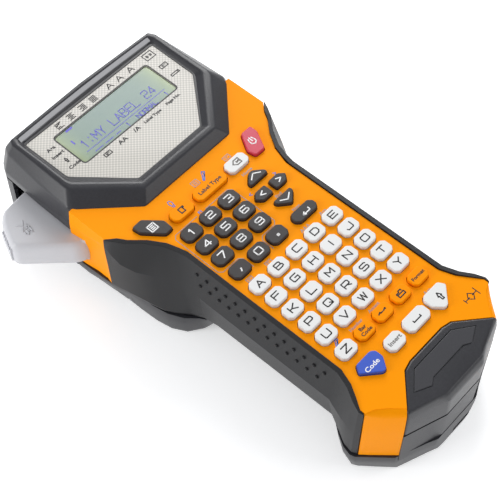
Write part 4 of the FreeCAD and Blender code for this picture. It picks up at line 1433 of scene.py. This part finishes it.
@dataclass
class RearShell:
    """Dark lower casing: belly, handle floor and tail, open where the covers and screws sit."""

    wall: float = 2.2
    skirt: float = 17.8
    seam: float = 42.35
    cap_seam: float = 37.95
    round_mm: float = 3.2
    gap: float = 0.3
    screw_head: float = 3.05
    screw_shank: float = 1.65
    screw_post: float = 4.4
    socket_place: Point = (25.0, -185.2)
    socket_turn: float = -157.7
    # y, upper edge x, side x and z, bottom x and z
    stations: tuple = (
        (-190.5, 14.6, 14.6, 13.0, 10.8, 3.2), (-190.0, 15.6, 15.8, 13.0, 12.0, 1.4),
        (-188.0, 19.5, 20.0, 13.0, 15.4, 0.2), (-181.5, 35.3, 35.8, 13.0, 32.0, 0.0),
        (-174.5, 41.3, 41.7, 13.0, 37.8, 0.0), (-167.5, 47.3, 47.6, 13.0, 43.4, 0.0),
        (-165.0, 48.2, 48.4, 13.0, 44.7, 0.0), (-160.0, 46.7, 47.2, 13.0, 43.0, 0.0),
        (-154.0, 43.3, 43.5, 15.0, 39.5, 5.0), (-150.0, 40.4, 40.6, 16.5, 36.4, 9.5),
        (-146.0, 38.8, 38.4, 18.0, 34.4, 11.5), (-110.0, 39.0, 38.6, 18.5, 34.6, 11.5),
        (-74.0, 39.2, 38.9, 19.0, 34.9, 11.5), (-68.0, 39.8, 39.4, 18.5, 35.4, 9.5),
        (-64.0, 41.6, 41.4, 15.0, 38.9, 3.5), (-58.0, 46.4, 46.6, 13.0, 44.6, 0.5),
        (-50.5, 49.9, 50.0, 13.0, 48.4, 0.0), (-42.0, 51.5, 51.5, 14.0, 50.0, 0.0),
        (-32.5, 52.5, 52.5, 15.0, 50.5, 0.0), (-27.0, 53.2, 53.2, 16.0, 50.5, 0.0),
        (-18.0, 56.0, 56.0, 16.0, 50.5, 0.0), (0.0, 57.0, 57.0, 12.0, 51.5, 0.0),
        (20.0, 57.0, 57.0, 12.0, 51.5, 0.0), (50.0, 56.3, 55.5, 12.0, 48.5, 0.0),
        (57.0, 54.6, 53.6, 13.0, 45.6, 1.0), (60.0, 52.4, 52.0, 14.0, 43.5, 3.0))

    def section(self, y: float, top: float, low: float, low_z: float, foot: float, foot_z: float,
                thick: float = 0.0) -> list[Place]:
        """One rounded cross-section.

        Args:
            y: where it stands.
            top: x of the upper edge.
            low: x of the side.
            low_z: height at which the side is widest.
            foot: x of the bottom's edge.
            foot_z: height of the bottom.
            thick: how far it is moved in.

        Returns:
            A closed loop.
        """
        right = [(foot - thick * 0.8, foot_z + thick), (low - thick, low_z), (top - thick, 30.0)]
        return [(x, y, z) for x, z in rounded(mirrored(right), self.round_mm, 3)]

    def tub(self, thick: float = 0.0) -> bmesh.types.BMesh:
        """The whole length as a solid, or the hollow inside it.

        Args:
            thick: 0 for the solid, the wall for the hollow.

        Returns:
            The solid, under construction.
        """
        low, high = self.stations[0][0] + thick, self.stations[-1][0] - thick
        rows = [(min(max(station[0], low), high),) + station[1:] for station in self.stations]
        rows = [row for row, after in zip(rows, rows[1:] + [None])
                if after is None or after[0] - row[0] > 0.05]
        return loft([self.section(*row, thick) for row in rows])

    def openings(self) -> list[bmesh.types.BMesh]:
        """Cut room for the covers, screws, power socket, lever bay and rear slot.

        Returns:
            The solids to take away, under construction.
        """
        tools = []
        for node, corner in (("tape_door", 4.0), ("battery_door", 3.0)):
            low, high = low_high(node)
            plan = oblong(low.x - self.gap, low.y - self.gap, high.x + self.gap, high.y + self.gap)
            tools.append(slab(rounded(plan, corner, 5), low.z - 2.0, high.z + 1.2))
        for place in self.screws():
            tools.append(disc(place, self.screw_head, -2.0, 5.0))
            tools.append(disc(place, self.screw_shank, 4.0, 20.0))
        tools.append(slab(oblong(-70.0, -6.5, -48.0, 50.0), 24.2, 50.0))
        tools.append(slab([(-2.0, -192.0), (19.0, -192.0), (17.0, -188.9), (0.0, -188.9)], 5.0, 7.6))
        socket = slab(oblong(-5.8, -16.0, 5.8, 8.0), 16.2, 27.8)
        turn = Matrix.Rotation(math.radians(self.socket_turn), 4, "Z")
        place = Matrix.Translation(Vector((*self.socket_place, 0.0)) * MM) @ turn
        bmesh.ops.transform(socket, matrix=place, verts=socket.verts)
        return tools + [socket]

    @staticmethod
    def screws() -> list[Point]:
        """Where the four case screws stand."""
        return [(side * x, y) for side in (1, -1) for x, y in ((38.4, -165.0), (48.5, -24.0))]

    def build(self) -> None:
        """Join the tub and its upper walls, hollow them and cut the openings."""
        head = [(57.4, 6.05), (57.3, 30.0), (56.4, 54.0), (53.4, 59.6)]
        tail = [(12.0, -190.3), (19.5, -187.6), (33.9, -182.5), (31.55, -179.8), (17.1, -167.2)]
        head_room = [(55.2, -10.0), (55.1, 30.0), (54.2, 53.0), (51.6, 57.4)]
        tail_room = [(11.4, -188.2), (18.8, -185.5), (36.0, -179.4), (36.0, -160.0)]
        shell = combine(helper_of(self.tub(), "rear_shell"),
                        slab(oblong(-90, -220, 90, 90), self.skirt, 60.0), "DIFFERENCE")
        shell = combine(shell, slab(mirrored(head), 13.0, self.seam), "UNION")
        shell = combine(shell, slab(mirrored(tail), 13.0, self.cap_seam), "UNION")
        shell = combine(shell, self.tub(self.wall), "DIFFERENCE")
        for room in (head_room, tail_room):
            shell = combine(shell, slab(mirrored(room), 14.0, 60.0), "DIFFERENCE")
        for place in self.screws():
            post = helper_of(disc(place, self.screw_post, 1.0, self.skirt - 0.2), "post")
            post = combine(post, self.tub(), "INTERSECT")
            shell = combine(shell, reopened(baked(post)), "UNION")
        for tool in self.openings():
            shell = combine(shell, tool, "DIFFERENCE")
        finish_piece("rear_shell_moulding", settled(shell, 38.0), Finish.DARK_LOW, "casing",
                     ("rear_shell",))


@dataclass
class Covers:
    """The tape and battery covers, each with finger grooves."""

    grooves: int = 5
    groove_pitch: float = 2.6

    def build(self) -> None:
        """Build both covers."""
        for node, corner in (("tape_door", 3.7), ("battery_door", 2.7)):
            low, high = low_high(node)
            plan = rounded(oblong(low.x, low.y, high.x, high.y), corner, 5)
            cover = helper_of(puck(plan, [(0.35, low.z), (0.0, low.z + 0.35), (0.0, high.z)]), node)
            middle = (low.x + high.x) / 2
            for index in range(self.grooves):
                y = high.y - 5.0 - self.groove_pitch * index
                half = 9.0 - index
                groove = rounded(oblong(middle - half, y - 0.6, middle + half, y + 0.6), 0.5, 3)
                cover = combine(cover, slab(groove, low.z - 1.0, low.z + 0.6), "DIFFERENCE")
            finish_piece(node + "_moulding", settled(cover), Finish.DARK_LOW, node, (node,))


# ------------------------------------------------------------------ display
@dataclass
class Display:
    """Printed lens, liquid crystal window and everything printed round it."""

    lens_low: float = 60.5
    lens_top: float = 62.0
    glass_top: float = 61.5
    window: tuple = (32.6, 19.0, 41.8)

    def window_plan(self, grow: float) -> Outline:
        """The window's rounded outline.

        Args:
            grow: how far it is widened.

        Returns:
            The outline.
        """
        half, low, high = self.window
        return rounded(oblong(-half - grow, low - grow, half + grow, high + grow), 2.0 + grow, 5)

    @staticmethod
    def ring(name: str, solid: bmesh.types.BMesh, hole: Outline) -> bpy.types.Mesh:
        """Cut a hole through a flat piece.

        Args:
            name: the mesh's name.
            solid: the piece without its hole, which is used up.
            hole: the hole's outline.

        Returns:
            The pierced piece.
        """
        return baked(combine(helper_of(solid, name), slab(hole, 50.0, 70.0), "DIFFERENCE"))

    def build(self) -> None:
        """Build lens, window and prints."""
        right = [(21.8, -7.0), (44.3, 19.4), (44.7, 49.0)]
        plan = rounded(mirrored(right), 1.2, 3)
        top = self.lens_top
        sheet = puck(plan, [(0.0, self.lens_low), (0.0, top - 0.15), (0.15, top)])
        sheet = smooth(self.ring("display_lens", sheet, self.window_plan(0.0)))
        finish_piece("display_lens_sheet", sheet, Finish.LENS, "casing", ("display_lens",))
        seal = smooth(self.ring("lens_seal", slab(inset(plan, -1.3), 59.0, 62.25), inset(plan, -0.05)))
        finish_piece("display_lens_seal", seal, Finish.BLACK, "casing")
        profile = [(0.0, 54.2), (0.0, self.glass_top - 0.15), (0.15, self.glass_top)]
        glass = puck(self.window_plan(-0.15), profile)
        finish_piece("lcd_glass", smooth(closed_up(glass, "lcd")), Finish.GLASS, "casing",
                     ("lcd_module",))
        self.frame_line()
        self.segments()
        self.prints()

    def frame_line(self) -> None:
        """Thin dark line round the window."""
        line = slab(self.window_plan(0.65), self.lens_top - 0.02, self.lens_top + 0.03)
        mesh = self.ring("lcd_frame", line, self.window_plan(-0.1))
        finish_piece("lcd_frame.001", mesh, Finish.DARK_INK, "casing")

    def segments(self) -> None:
        """Generic characters on the display."""
        z = self.glass_top + 0.02
        thin = Scribe(stroke=0.46, rise=0.04)
        fine = Scribe(stroke=0.4, rise=0.04)
        inks = [thin.write("1:MY LABEL 24", (-0.8, 28.2), 5.2, 3.1, z, Finish.SEGMENT, 0.8),
                fine.write("NORMAL", (12.4, 20.9), 2.6, 2.0, z, Finish.SEGMENT, 0.35),
                fine.write("1", (-1.0, 20.9), 2.6, 1.6, z, Finish.SEGMENT),
                fine.write("1", (26.2, 20.9), 2.6, 1.6, z, Finish.SEGMENT)]
        bars = [(-25.4, -21.2, 40.0, 41.2), (-28.0, -27.2, 31.6, 34.6), (-24.0, -18.6, 20.6, 21.0),
                (-17.0, -11.6, 20.6, 21.0), (-9.6, -6.2, 20.6, 21.0), (-27.0, 27.6, 23.5, 23.8)]
        inks += [self.bar(*bar, z) for bar in bars]
        join_inks(inks, "lcd_segments", "casing")

    @staticmethod
    def bar(left: float, right: float, front: float, back: float, z: float) -> bpy.types.Object:
        """One solid bar on the display.

        Args:
            left: its lower x.
            right: its higher x.
            front: its lower y.
            back: its higher y.
            z: height of the glass under it.

        Returns:
            An unlinked helper object that holds the mesh.
        """
        mesh = closed_up(slab(oblong(left, front, right, back), z - 0.02, z + 0.03), "bar")
        helper = bpy.data.objects.new("bar", mesh)
        PAINT.dress(helper, Finish.SEGMENT)
        return helper

    def prints(self) -> None:
        """Dark symbols printed round the window."""
        z = self.lens_top
        pen = Scribe(stroke=0.58, rise=0.05, thicken=0.09)
        ink = Finish.DARK_INK
        inks = [pen.write([name], (x, 45.6), 3.4, 3.6, z, ink) for name, x in
                (("left_lines", -25.0), ("mid_lines", -17.0), ("right_lines", -9.0), ("full_lines", -1.5),
                 ("A", 10.0), ("A", 17.0), ("A", 25.0))]
        inks += [pen.write(["tape"], (38.2, 45.2), 4.6, 6.0, z, ink),
                 pen.write(["card"], (38.6, 34.8), 3.2, 4.6, z, ink),
                 pen.write(["battery"], (38.6, 26.6), 3.4, 6.0, z, ink),
                 pen.write(["card"], (-21.0, 15.0), 2.8, 4.2, z, ink),
                 pen.write(["shift"], (-37.4, 27.3), 3.0, 2.8, z, ink)]
        words = (("A•a", (-38.0, 37.8), 2.2), ("Insert", (-38.0, 32.7), 2.0), ("Code", (-36.6, 22.2), 2.0),
                 ("AA", (-10.4, 15.2), 2.6), ("/A", (-0.6, 15.2), 2.6), ("Label Type", (10.6, 15.2), 1.7),
                 ("Page No.", (25.4, 15.4), 1.7))
        inks += [pen.words(text, place, height, z, ink) for text, place, height in words]
        join_inks(inks, "lens_prints", "casing")


@dataclass
class PanelPrints:
    """Small legends and lines printed on the orange deck."""

    top: float = 58.5

    def build(self) -> None:
        """Print everything."""
        pen = Scribe(stroke=0.5, rise=0.05, thicken=0.08)
        blue, mauve = Finish.HINT_INK, Finish.MAUVE_INK
        z = self.top
        symbols = (("lamp", (-20.7, -27.6), 4.2, 4.2, blue), ("page", (-3.8, -27.5), 3.4, 3.8, mauve),
                   ("wrench", (2.2, -27.6), 4.4, 4.4, blue), ("card", (18.0, -28.2), 3.4, 4.0, mauve),
                   ("<", (9.0, -52.2), 3.0, 2.6, blue), (">", (26.6, -52.3), 3.0, 2.6, blue),
                   ("wrench", (-26.5, -136.3), 4.0, 4.0, blue),
                   ("polarity", (33.8, -166.0), 9.0, 8.2, Finish.DARK_INK),
                   ("card", (-14.5, -84.6), 2.8, 3.6, mauve), ("card", (-27.2, -84.2), 2.6, 3.4, mauve))
        inks = [pen.write([name], place, height, wide, z, ink) for name, place, height, wide, ink in symbols]
        words = (("Home", (18.2, -41.6), 1.7, mauve), ("End", (18.0, -62.4), 1.7, mauve),
                 ("New", (18.0, -73.6), 1.6, mauve), ("F1", (-14.7, -41.1), 1.6, blue),
                 ("AAA", (11.8, -84.7), 2.0, mauve), ("A•a", (24.6, -84.8), 2.0, mauve),
                 ("Number", (-13.5, -136.5), 1.6, mauve), ("Accent", (-0.7, -136.5), 1.6, mauve),
                 ("A•a", (22.5, -149.6), 2.0, mauve))
        inks += [pen.words(text, place, height, z, ink) for text, place, height, ink in words]
        inks.append(self.digit_frame(pen, z))
        join_inks(inks, "deck_prints", "casing")

    @staticmethod
    def digit_frame(pen: Scribe, z: float) -> bpy.types.Object:
        """Draw a thin line round the digit keys, open at its top left and dipped round the zero.

        Args:
            pen: the lettering tool.
            z: height of the deck.

        Returns:
            An unlinked helper object that holds the mesh.
        """
        curve = bpy.data.curves.new("digit_frame", "CURVE")
        curve.dimensions = "3D"
        curve.bevel_depth = 0.26 * MM
        curve.bevel_resolution = 1
        lines = [[(-17.7, -41.7), (-32.5, -41.7), (-34.3, -43.5), (-34.3, -70.7), (-32.5, -72.5),
                  (-22.5, -72.5), (-20.8, -74.2), (-20.8, -81.0)],
                 [(-11.8, -41.7), (3.6, -41.7), (5.4, -43.5), (5.4, -70.7), (3.6, -72.5), (-5.2, -72.5),
                  (-7.0, -74.2), (-7.0, -81.2)]]
        for line in lines:
            spline = curve.splines.new("POLY")
            spline.points.add(len(line) - 1)
            for point, (x, y) in zip(spline.points, line):
                point.co = (x * MM, y * MM, 0.0, 1.0)
        return pen.flatten(curve, z, Finish.MAUVE_INK)


# ------------------------------------------------------------------ hidden parts
@dataclass
class Works:
    """Finishes of the CAD nodes that keep their own shape."""

    def build(self) -> None:
        """Dress every carried-over node."""
        plan = {
            Finish.STEEL: ("case_screws", "lever_pin", "cutter_blade", "fixed_blade", "chassis_plate",
                           "feed_motor", "data_port", "battery_contacts"),
            Finish.BLACK: ("tape_cassette", "ribbon_spool", "power_jack", "platen_roller", "key_mat"),
            Finish.GEAR: ("transfer_gear", "motor_pinion", "platen_gear"),
            Finish.CERAMIC: ("print_head",),
            Finish.BOARD: ("main_board",),
            Finish.CELL: ("batteries",),
            Finish.TAPE: ("label_roll",),
        }
        for finish, nodes in plan.items():
            for node in nodes:
                PAINT.dress(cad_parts[node], finish)


# ------------------------------------------------------------------ studio
@dataclass
class Studio:
    """Pale floor, soft lights and the camera."""

    camera_place: Place = (-264.1, -297.3, 561.2)
    camera_back: Place = (-0.41233, -0.37056, 0.83227)
    lens_mm: float = 92.47
    floor_reach: float = 3.0  # metres, as the lights' places are
    aim: Place = (0, -0.07, 0.03)

    def build(self) -> None:
        """Set the stage."""
        self._floor()
        self._lights()
        self._camera()

    def _floor(self) -> None:
        """A wide pale plane under the machine."""
        mesh = bpy.data.meshes.new("floor")
        reach = self.floor_reach
        corners = [(x, y, 0.0) for x, y in oblong(-reach, -reach, reach, reach)]
        mesh.from_pydata(corners, [], [(0, 1, 2, 3)])
        floor = linked("floor", mesh)
        board = NodeBoard("floor_paper")
        grain = board.noise(4.0, 2.0)
        board.set(Base_Color=board.mix(grain, (0.9, 0.9, 0.9, 1), (0.94, 0.94, 0.94, 1)), Roughness=0.6,
                  Emission_Color=(1.0, 1.0, 1.0, 1.0), Emission_Strength=0.42)
        mesh.materials.append(board.material)

    def _light(self, name: str, place: Place, size: float, power: float) -> None:
        """Add a square soft light that faces the machine.

        Args:
            name: its name.
            place: where it hangs.
            size: its side.
            power: its power in watts.
        """
        data = bpy.data.lights.new(name, "AREA")
        data.size = size
        data.energy = power
        light = linked(name, data)
        light.location = place
        light.rotation_euler = (Vector(self.aim) - Vector(place)).to_track_quat("-Z", "Y").to_euler()

    def _lights(self) -> None:
        """A bright surround, a big soft key from behind and a weaker fill."""
        world = bpy.data.worlds.new("surround")
        world.use_nodes = True
        surround = world.node_tree.nodes["Background"].inputs
        surround["Color"].default_value = (0.95, 0.97, 1.0, 1.0)
        surround["Strength"].default_value = 0.52
        bpy.context.scene.world = world
        bpy.context.scene.view_settings.view_transform = "Standard"
        self._light("key_light", (0.75, 0.7, 0.75), 0.8, 12.0)
        self._light("side_light", (-0.95, 0.35, 0.45), 0.5, 5.5)
        self._light("front_light", (0.6, -0.9, 0.7), 0.7, 3.4)

    def _camera(self) -> None:
        """The view from the left front, above."""
        data = bpy.data.cameras.new("camera")
        data.lens = self.lens_mm
        data.sensor_width = 36.0
        data.clip_end = 20.0
        camera = linked("camera", data)
        camera.location = Vector(self.camera_place) * MM
        camera.rotation_euler = (-Vector(self.camera_back)).to_track_quat("-Z", "Y").to_euler()
        bpy.context.scene.camera = camera


def main() -> None:
    """Build every sub-assembly in order."""
    logging.basicConfig(level=logging.INFO, format="%(message)s")
    Studio().build()
    Works().build()
    keys = Keycaps()
    keys.build()
    FrontShell().build(keys.holes())
    for part in (Grips(), Hood(), EndCap(), Lever(), RearShell(), Covers(), Display(), PanelPrints()):
        part.build()


if __name__ == "__main__":
    main()
